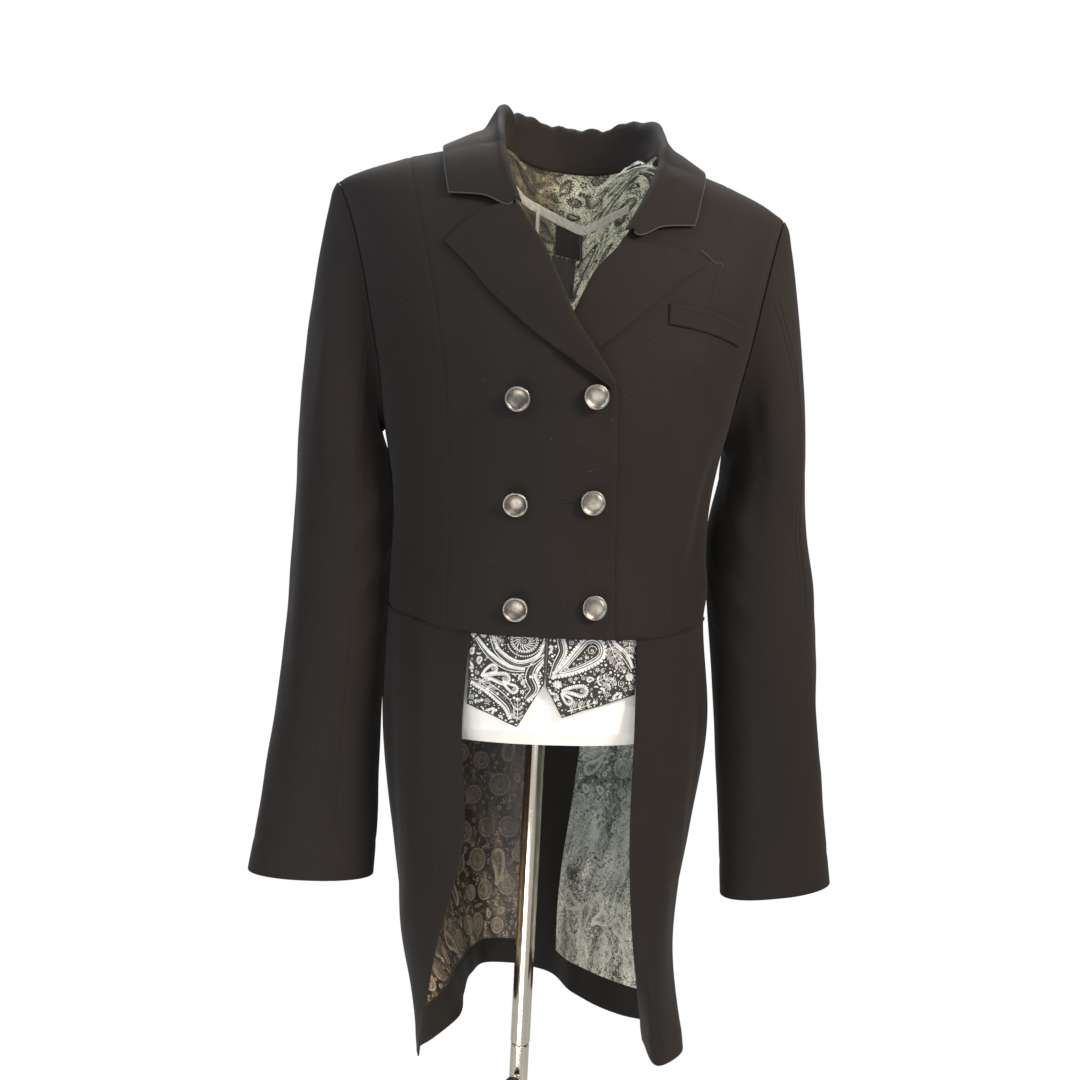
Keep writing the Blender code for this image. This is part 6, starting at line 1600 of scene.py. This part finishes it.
spray(b, s, (0.0200, 0.9360), 0.6, 0.0150, 4, 0.8)
for c, r, t in (((0.0120, 0.9020), 0.0026, 1.0), ((0.0400, 0.8790), 0.0024, 2.0), ((0.0500, 0.8850), 0.0028, 0.3), ((0.0630, 0.8950), 0.0034, 2.2),
                ((0.0720, 0.8920), 0.0026, 4.0), ((0.0450, 0.9060), 0.0022, 1.0), ((0.0160, 0.9300), 0.0024, 2.4), ((0.0650, 0.9070), 0.0024, 0.4), ((0.0210, 0.8990), 0.0016, 3.4)):
    b.spiral(c, r, 1.6, 0.0005, t)
keep_l = lambda a, z: (a > xl0 + 0.0007) & (a < xl1 - 0.0007) & (z > low_l(a, z) + 0.0009) & (z < VEST_TOP - 0.002)
fill(b, s, (xl0, xl1, 0.862, VEST_TOP), keep_l, (0.0056, 0.0038, 0.0024, 0.0014, 0.0008), 12, 1500, 1.22)
vest_fig_l = [lay(b, "vest_figure_left", "fig_vest", up, keep_l),
              lay(s, "vest_figure_soft_left", "fig_vest_soft", up, keep_l)]


# ------------------------------------------------------------------ figured linings
def scatter(wide, long, spacing, seed, margin=0.004):
    """Uneven rows of places, with a turn and a size each."""
    r = np.random.RandomState(seed)
    places = []
    rows = int(long / spacing) + 1
    for i in range(rows):
        y = (i + 0.5) * long / rows
        n = int(wide / spacing) + 1
        for j in range(n):
            x = (j + 0.5 + 0.5 * (i % 2)) * wide / n
            places.append((x + r.uniform(-0.16, 0.16) * spacing, y + r.uniform(-0.16, 0.16) * spacing, r.uniform(0, 6.28), r.uniform(0.8, 1.2), r.randint(3)))
    return places


def figured(name, grid_name, mat, mat2, seed, spacing, wide, long, kinds, sizes, high=0.00032):
    g, n, ul, vl = GRIDS[grid_name]
    b, s = Figures(), Figures()
    b.step = s.step = 0.0016
    b.sides = s.sides = 6
    for x, y, turn, size, kind in scatter(wide, long, spacing, seed):
        k = kinds[kind]
        c = (x, y)
        if k == "medallion":
            medallion(b, s, c, 0.0105 * size, turn, 16)
        elif k == "drop":
            paisley(b, s, c, 0.0072 * size, 0.026 * size, turn, 0.9, 1, 0.0010)
        else:
            spray(b, s, c, turn, 0.024 * size, 5, 0.9)
        b.spiral((x + spacing * 0.5, y + spacing * 0.08), 0.0030 * size, 1.5, 0.0007, turn)
        spray(b, s, (x + spacing * 0.42, y + spacing * 0.45), turn + 1.7, 0.013 * size, 3, -0.8)
    def surface(a, q):
        uu = ul[0] + q / 0.40
        vv = vl[0] + a / 0.42
        p, m = on_grid(g, ul, vl, uu, vv), on_grid(n, ul, vl, uu, vv)
        return p + m / np.linalg.norm(m, axis=1, keepdims=True) * high
    A, B = (vl[-1] - vl[0]) * 0.42, (ul[-1] - ul[0]) * 0.40
    keep = lambda a, q: (a > 0.0016) & (a < A - 0.0016) & (q > 0.0016) & (q < B - 0.0016)
    fill(b, s, (0, A, 0, B), keep, sizes, seed, 2200)
    return [lay(b, name, mat, surface, keep), lay(s, name + "_soft", mat2, surface, keep)]


fig_tail_r = figured("tail_figure_right", "lining_tail_right", "fig_tail_r", "fig_tail_r_soft", 5, 0.040, 0.40, 0.36, ("medallion", "drop", "medallion"), (0.0062, 0.0036, 0.0022, 0.0013))
fig_tail_l = figured("tail_figure_left", "lining_tail_left", "fig_tail_l", "fig_tail_l_soft", 6, 0.037, 0.37, 0.36, ("medallion", "drop", "spray"), (0.0062, 0.0036, 0.0022, 0.0013))

# upper back lining
w = stations(0.150, 0.0025, 0.0006) / 0.150 * 0.62
q = stations(0.220, 0.0025, 0.0006) / 0.220 * 0.39 + 0.61
# back_psi's dip is worked out on the last row, so the panel's own full width is used for it
def neck_half(side):
    full = np.linspace(0, 1, 120)
    psi, ss = back_psi(side, np.r_[q[:-1], 1.0], full)
    out_p = np.stack([np.interp(w, full, row) for row in psi])
    out_s = np.stack([np.interp(w, full, row) for row in ss])
    return out_p, out_s
(pl, sl), (pr, sr) = neck_half(1), neck_half(-1)
psi = np.concatenate([pr[:, ::-1], pl[:, 1:]], 1)
ss = np.concatenate([sr[:, ::-1], sl[:, 1:]], 1)
aa = np.linspace(-1, 1, psi.shape[1])[None, :] * 0.150
bb = np.linspace(0, 1, psi.shape[0])[:, None] * 0.220
soft_in = np.abs(ripple(aa + 0 * bb, bb + 0 * aa, 0.040, 0.0009, 97)) + np.abs(folds([(-0.02, 0.215, -0.03, 0.10, 5, 2.2, 3), (-0.002, 0.218, 0.004, 0.13, 3.5, 1.8, -2), (0.02, 0.216, 0.03, 0.12, 4, 2.2, -3), (0.034, 0.218, 0.042, 0.15, 3, 1.6, 2), (0.050, 0.215, 0.064, 0.10, 5, 2.2, 2)], aa + 0 * bb, bb + 0 * aa))
edge_in = np.minimum(np.minimum(bb, 0.220 - bb) + 0 * aa, (0.150 - np.abs(aa)) + 0 * bb)
depth = CLOTH + 0.0007 + soft_in * np.clip(edge_in / 0.006, 0, 1)
P = half_near(body(psi, ss, -depth), 1)
seat = np.array([(r[0], r[1], r[2]) for r in COLLAR[3:12]])
last = P[-1]
goal = np.stack([np.interp(last[:, 0], seat[:, 0], seat[:, k]) for k in range(3)], -1)
toward = (np.array([0.012, -0.02, 0]) - goal) * np.array([1, 1, 0])
goal = goal + toward / np.linalg.norm(toward, axis=1, keepdims=True) * 0.0004 + np.array([0, 0, 0.0022])
step = (last - P[-2]) / np.linalg.norm(last - P[-2], axis=1, keepdims=True)
reach = sstep(-0.060, -0.046, last[:, 0]) * (1 - sstep(0.089, 0.098, last[:, 0])) * np.clip((goal[:, 2] - last[:, 2]) / 0.006 + np.where(last[:, 0] > 0, 1.0, 0.0), 0, 1)
end = last + step * 0.002 * (1 - reach)[:, None] + (goal - last) * reach[:, None]
rows_up = np.linspace(0, 1, 10)[1:, None, None]
P = np.concatenate([P, last[None] * (1 - rows_up) + end[None] * rows_up])
neck = shell_piece("lining_neck", P, 0.0006, ["neck"], facing=np.array([0, -1.0, -0.2]), soft=(1, 1, 1, 1))
neck = coat(neck, ("neck_lining",))
N = grid_normals(P)
if N[60, 60, 1] > 0:
    N = -N
GRIDS["lining_neck"] = (P, N, np.linspace(0, 0.240 / 0.40, P.shape[0]), np.linspace(0, 0.300 / 0.42, P.shape[1]))
fig_neck = figured("neck_figure", "lining_neck", "fig_neck_dark", "fig_neck", 9, 0.034, 0.300, 0.220, ("drop", "drop", "spray"), (0.0060, 0.0034, 0.0020, 0.0012))

# ------------------------------------------------------------------ pocket, ribbon, labels
rows = np.array(WELT)
x = stations(rows[-1, 0] - rows[0, 0], 0.0014, 0.0007) + rows[0, 0]
hi, lo = np.interp(x, rows[:, 0], rows[:, 1]), np.interp(x, rows[:, 0], rows[:, 2])
w = stations(0.0187, 0.0012, 0.0007) / 0.0187
zz = hi[None, :] + (lo - hi)[None, :] * w[:, None]
xx = np.repeat(x[None, :], len(w), 0)
P = front(xx, zz, 0.0019 + 0.0004 * np.exp(-(w[:, None] * 0.0187 / 0.003 - 0.6) ** 2) + 0 * xx)
welt = coat(shell_piece("cloth_pocket_welt", P, 0.0016, ["wool"], facing=np.array([0, -1.0, 0]), soft=(1, 1, 1, 1)), ("pocket_welt",))
# stitched lines: the pocket's ends
def stitches(name, pts, mat="thread", length=0.0022, gap=0.0009, radius=0.00022):
    """Short separate stitches along points."""
    p = np.asarray(pts, float)
    L = np.r_[0, np.cumsum(np.linalg.norm(np.diff(p, axis=0), axis=1))]
    n = max(int(L[-1] / (length + gap)), 1)
    V, F, U, k = [], [], [], 0
    for i in range(n):
        a = (i + 0.12) * L[-1] / n
        t = np.linspace(a, a + length, 4)
        q = np.stack([np.interp(t, L, p[:, c]) for c in range(3)], -1)
        d = q[-1] - q[0]
        d /= np.linalg.norm(d)
        side = np.cross(d, [0, 0.0, 1.0]) if abs(d[2]) < 0.9 else np.cross(d, [1.0, 0, 0])
        side /= np.linalg.norm(side)
        upv = np.cross(side, d)
        rr = radius * np.array([0.3, 1, 1, 0.3])
        ring = q[:, None] + rr[:, None, None] * np.stack([side * math.cos(o) + upv * math.sin(o) for o in np.arange(6) * math.pi / 3])[None]
        V.append(ring.reshape(-1, 3))
        a_, b_ = np.meshgrid(np.arange(3), np.arange(6), indexing="ij")
        F.append(np.stack([a_ * 6 + b_, (a_ + 1) * 6 + b_, (a_ + 1) * 6 + (b_ + 1) % 6, a_ * 6 + (b_ + 1) % 6], -1).reshape(-1, 4) + k)
        U.append(np.stack([np.repeat(t, 6), np.tile(np.arange(6) * 0.0002, 4)], -1))
        k += 24
    return coat(make(name, np.concatenate(V), np.concatenate(F), np.concatenate(U), mat))


def front_line(pts, d, n=40):
    p = np.array(pts, float)
    t = np.r_[0, np.cumsum(np.linalg.norm(np.diff(p, axis=0), axis=1))]
    q = spline(t, p, np.linspace(0, t[-1], n))
    return front(q[:, 0], q[:, 1], d)


stitches("pocket_stitch_inner", front_line([(0.0862, 1.2252), (0.0862, 1.2086)], 0.0021), "thread", 0.0018, 0.0008)
stitches("pocket_stitch_outer", front_line([(0.1548, 1.2144), (0.1548, 1.1976)], 0.0021), "thread", 0.0018, 0.0008)

rib = np.array([(-0.0575, 1.3700, 0.0110), (-0.0430, 1.3590, 0.0108), (-0.0310, 1.3490, 0.0106)] + RIBBON[2:])
r = spline(np.linspace(0, 1, len(rib)), rib, np.linspace(0, 1, 90))
w = np.array([-1, -0.985, -0.94, -0.8, -0.5, 0, 0.5, 0.8, 0.94, 0.985, 1.0])[:, None]
twist = 0.0006 * np.sin(np.linspace(0, 9, 90))[None, :]
xx, zz = r[None, :, 0] + 0 * w, r[None, :, 1] + w * 0.0042
dd = r[None, :, 2] + 0.0002 * (1 - w ** 2) + twist * w
ribbon = coat(shell_piece("ribbon_hanger", inside(xx, zz, dd), 0.0007, ["ribbon"], facing=np.array([0, -1.0, 0])), ("hanger_ribbon",))
t = np.linspace(0, 1, 30)[:, None]
xx = -0.0178 + 0.0016 * t + 0.0018 * np.array([-1, -0.9, 0, 0.9, 1.0])[None, :]
zz = 1.3435 - 0.0240 * t + 0 * xx
strip = coat(shell_piece("ribbon_loose_end", inside(xx, zz, 0.0112 + 0.0008 * np.sin(3 * t) + 0 * xx), 0.0006, ["ribbon"], facing=np.array([0, -1.0, 0])), ())
lab = {}
for name, mat, corners, d in LABELS:
    c = np.array(corners)
    u_ = stations(0.027, 0.0011, 0.0005) / 0.027
    a_, b_ = u_[None, :, None], u_[:, None, None]
    q4 = (c[0] * (1 - a_) + c[1] * a_) * (1 - b_) + (c[3] * (1 - a_) + c[2] * a_) * b_
    curl = 0.0012 * np.sin(np.pi * u_)[:, None] * np.sin(np.pi * u_)[None, :]
    lab[name] = coat(shell_piece("bare_" + name, inside(q4[..., 0], q4[..., 1], d + curl), 0.0006, [mat], facing=np.array([0, -1.0, 0])), (name,))
zt = np.linspace(1.3240, 1.2930, 40)
loop = inside(0.0296 + 0.0012 * np.sin((zt - 1.293) * 180), zt, 0.0090 + 0.0010 * np.sin((zt - 1.293) * 120))
thread_loop = coat(tube("label_thread", loop, 0.00035, "thread_pale", 6), ())

# ------------------------------------------------------------------ buttons and buttonholes
def turned(name, profile, mats, segs, matrix, ids, wobble=None):
    """A turned piece from (radius, height) rows in mm, outside first."""
    prof = np.array(profile) * 0.001
    a = 2 * np.pi * np.arange(segs) / segs
    rad = prof[:, 0][:, None] * np.ones(segs)[None, :]
    if wobble is not None:
        rad = rad * (1 + wobble(a)[None, :] * (prof[:, 0] > 0.004)[:, None])
    P = np.stack([rad * np.cos(a), rad * np.sin(a), prof[:, 1][:, None] + 0 * rad], -1).reshape(-1, 3)
    n = len(prof)
    i, j = np.meshgrid(np.arange(n - 1), np.arange(segs), indexing="ij")
    j2 = (j + 1) % segs
    quads = np.stack([i * segs + j, i * segs + j2, (i + 1) * segs + j2, (i + 1) * segs + j], -1).reshape(-1, 4)
    R = np.array(matrix.to_3x3())
    P = P @ R.T + np.array(matrix.translation)
    uv = np.stack([np.tile(a * 0.01, n), np.repeat(prof[:, 1], segs)], -1)
    which = np.repeat(np.array(ids), segs)
    return make(name, P, quads, uv, mats, which)


E = 0.002
BUTTON = [(E, 0.1), (2.2, 0.1), (2.2, 1.9), (4.0, 2.1), (8.6, 2.3), (9.9, 2.7), (10.6, 3.3), (10.85, 3.9), (10.7, 4.5), (10.2, 4.85), (9.6, 4.8), (9.1, 4.5),
          (8.7, 4.05), (8.1, 3.70), (7.0, 3.30), (5.5, 2.95), (4.0, 2.75), (2.5, 2.66), (1.2, 2.64), (E, 2.64)]
RIM = [0] * (len(BUTTON) - 1)
for i in range(len(BUTTON) - 1):
    RIM[i] = 1 if 3 < i < 12 else 0
buttons = []
for name, x, z, droop in BUTTONS:
    base = max(float(over_right(np.array(x + i), np.array(z + j))) for i in (-0.01, 0.01) for j in (-0.01, 0.01))
    lean = math.radians(droop)
    p = Vector(front(x, z, base + 0.0002).tolist())
    m = Vector((front(x, z, 0.01) - front(x, z, 0.0)).tolist()).normalized()
    m = Matrix.Translation(p) @ Matrix.Rotation(lean * 0.9, 4, "X") @ m.to_track_quat("Z", "Y").to_matrix().to_4x4()
    raise_ = Matrix.Translation(Vector((0, 0, 0.9e-3 if droop > 8 else 0.0)))
    # the drooping right-front buttons take the darker pewter copy, painted shade
    buttons.append(coat(turned("trim_" + name, BUTTON, ["pewter_shaded" if x < 0 and droop > 8 else "pewter", "pewter_rim"], 72, m @ raise_, RIM), (name,)))

# keyhole buttonholes on the right front: eye x, far end x, z
for k, (x0, x1, z) in enumerate(((-0.0016, 0.0130, 1.1400), (-0.0009, 0.0150, 1.0520), (0.0052, 0.0215, 0.9618))):
    a = np.linspace(0.5, 2 * np.pi - 0.5, 18)
    eye = np.stack([x0 + 0.0017 + 0.0017 * np.cos(a), z + 0.0016 * np.sin(a)], -1)
    top = np.stack([np.linspace(x1, x0 + 0.0034, 22), np.full(22, z + 0.00075)], -1)
    low = np.stack([np.linspace(x0 + 0.0034, x1, 22), np.full(22, z - 0.00075)], -1)
    path = np.concatenate([top, eye, low])
    lift = over_right(path[:, 0], path[:, 1])
    P = front(path[:, 0], path[:, 1], lift + 0.0004)
    P = P + np.random.RandomState(k).uniform(-0.00006, 0.00006, P.shape)
    coat(tube("buttonhole_%d" % (k + 1), P, 0.00055, "thread", 6, closed=True))
    bar = front(np.full(6, x1 + 0.0002), np.linspace(z - 0.0014, z + 0.0014, 6), over_right(np.full(6, x1), np.full(6, z)) + 0.0005)
    coat(tube("buttonhole_bar_%d" % (k + 1), bar, 0.0005, "thread", 6))

# the pale thread at the left lapel's corner
path = np.array([(0.1120, 1.2748, 3.1), (0.1165, 1.2722, 3.4), (0.1205, 1.2696, 3.2), (0.1240, 1.2680, 1.2), (0.1290, 1.2668, 0.7), (0.1330, 1.2672, 0.5), (0.1355, 1.2655, 0.4)])
q = spline(np.linspace(0, 1, len(path)), path, np.linspace(0, 1, 40))
lapel_thread = coat(tube("lapel_loose_thread", front(q[:, 0], q[:, 1], q[:, 2] * 0.001), 0.00030, "thread_soft", 6))

# ------------------------------------------------------------------ form and stand
nodes = frame["nodes"]
for name, mat in (("form_body", "form_white"), ("form_flange", "chrome"), ("pole_upper", "chrome"), ("pole_lower", "chrome"), ("clamp_boss", "chrome"), ("base_plate", "base_steel")):
    o = nodes[name]
    o.data.materials.clear()
    o.data.materials.append(M[mat])

m = CLAMP_DIR.to_track_quat("Z", "Y").to_matrix().to_4x4()
m = Matrix.Translation(Vector((0, 0, CLAMP_Z)) + CLAMP_DIR * (TUBE_R + 0.0012)) @ m
KNOB = [(E, 0), (3.0, 0.0), (3.0, 6.2), (6.8, 6.3), (8.2, 6.6), (9.1, 7.2), (9.6, 8.2), (9.7, 9.5), (9.7, 13.6), (9.4, 15.0), (8.6, 16.0), (7.4, 16.4), (4.0, 16.5), (3.6, 16.2), (E, 16.2)]
knob = turned("clamp_knob_grip", KNOB, ["knob", "chrome"], 96, m, [1, 1, 0, 0, 0, 0, 0, 0, 0, 0, 0, 0, 1, 1], lambda a: -0.045 * (0.5 + 0.5 * np.cos(8 * a)) ** 2)
coat(knob, ("clamp_knob",), "clamp")

# ------------------------------------------------------------------ declared cloth
def declare(ob, flat=None):
    area = ob["area"]
    w, l = flat or ob["flat"]
    w, l = max(w, 0.0102), max(l, 0.0102)
    l = max(l, area / (0.985 * w))
    print("SHEET %s flat %.3f x %.3f m, cut area %.4f m2" % (ob.name, w, l, area))


declare(front_r)
declare(front_l)
declare(back_r)
declare(back_l)
declare(tail_r)
declare(tail_l)
declare(sleeve_r)
declare(sleeve_l)
declare(lapel_r)
declare(lapel_l)
declare(collar_ob)
for ob, rest, own in ((tail_r_own[0], "cloth_tail_right", fig_tail_r), (tail_l_own[0], "cloth_tail_left", fig_tail_l), (neck, "cloth_back_right", fig_neck)):
    declare(ob)
for ob in tail_r_own[1:] + tail_l_own[1:]:
    declare(ob)
declare(vest_r)
declare(vest_l)
declare(welt)
declare(ribbon)
for ob in lab.values():
    declare(ob)
for ob in TAPES:
    if ob.name.startswith("waist"):
        declare(ob)
    else:
        declare(ob)

# ------------------------------------------------------------------ floor, light, camera
me = bpy.data.meshes.new("studio_floor")
r_, n_ = 1.05, 72
vs = [(0, 0, -0.0004)] + [(r_ * math.cos(2 * math.pi * k / n_), r_ * math.sin(2 * math.pi * k / n_), -0.0004) for k in range(n_)]
me.from_pydata(vs, [], [(0, 1 + k, 1 + (k + 1) % n_) for k in range(n_)])
floor = bpy.data.objects.new("studio_floor", me)
bpy.context.scene.collection.objects.link(floor)
k = Nodes("floor_pale")
k.set(Base_Color=k.ramp(k.noise(k.place(), 3.0), (0.3, (0.80, 0.80, 0.80)), (0.7, (0.84, 0.84, 0.84))), Roughness=0.7)
me.materials.append(k.m)

scene = bpy.context.scene
scene.view_settings.view_transform = "Standard"
world = bpy.data.worlds.new("studio")
scene.world = world
world.use_nodes = True
t = world.node_tree
bg = t.nodes["Background"]
bg.inputs["Color"].default_value = (1.0, 1.0, 1.0, 1)
bg.inputs["Strength"].default_value = 1.0
dim = t.nodes.new("ShaderNodeBackground")
dim.inputs["Color"].default_value = (0.97, 0.985, 1.0, 1)
dim.inputs["Strength"].default_value = 0.44
mixer = t.nodes.new("ShaderNodeMixShader")
path = t.nodes.new("ShaderNodeLightPath")
t.links.new(path.outputs["Is Camera Ray"], mixer.inputs[0])
t.links.new(dim.outputs[0], mixer.inputs[1])
t.links.new(bg.outputs[0], mixer.inputs[2])
t.links.new(mixer.outputs[0], t.nodes["World Output"].inputs["Surface"])


def area_light(name, at, look, size, power, color, tall=None):
    l = bpy.data.lights.new(name, "AREA")
    l.shape = "RECTANGLE"
    l.size, l.size_y = size, tall or size
    l.energy = power
    l.color = color
    o = bpy.data.objects.new(name, l)
    o.location = at
    o.rotation_euler = (Vector(at) - Vector(look)).to_track_quat("Z", "Y").to_euler()
    scene.collection.objects.link(o)


area_light("window_left", (-2.0, -1.1, 2.1), (0, 0, 1.10), 1.3, 20, (0.88, 0.94, 1.0), 1.7)
area_light("lamp_right", (1.35, -1.15, 2.05), (0.165, -0.08, 1.29), 0.7, 46, (1.0, 0.83, 0.64), 0.42)
area_light("top_back", (0.0, 0.7, 2.6), (0, 0, 1.25), 1.2, 15, (0.97, 0.985, 1.0), 0.7)
area_light("front_low", (0.2, -2.2, 0.9), (0, 0, 0.85), 1.2, 8, (1.0, 0.97, 0.94), 0.8)
area_light("skylight", (-0.7, -0.75, 2.5), (-0.02, -0.08, 1.30), 0.30, 7, (0.93, 0.96, 1.0), 0.28)
area_light("floor_bounce", (-0.36, -0.85, 0.30), (0.0, 0.13, 0.66), 0.5, 4.6, (1.0, 0.97, 0.92), 0.3)

cam = bpy.data.cameras.new("photo_angle")
cam.sensor_width = 36.0
cam.lens = 43.333
cam.clip_start = 0.05
co = bpy.data.objects.new("photo_angle", cam)
f = Vector((0.10026, 0.99452, -0.02967)).normalized()
rgt = Vector((0.99383, -0.09868, 0.05057))
rgt = (rgt - f * rgt.dot(f)).normalized()
up_ = rgt.cross(f).normalized()
C = Vector((-0.12815, -1.21928, 1.05))
co.matrix_world = Matrix(((rgt[0], up_[0], -f[0], C[0]), (rgt[1], up_[1], -f[1], C[1]), (rgt[2], up_[2], -f[2], C[2]), (0, 0, 0, 1)))
scene.collection.objects.link(co)
scene.camera = co

for ob in bpy.data.objects:
    for key in ("area", "flat"):
        if key in ob:
            del ob[key]
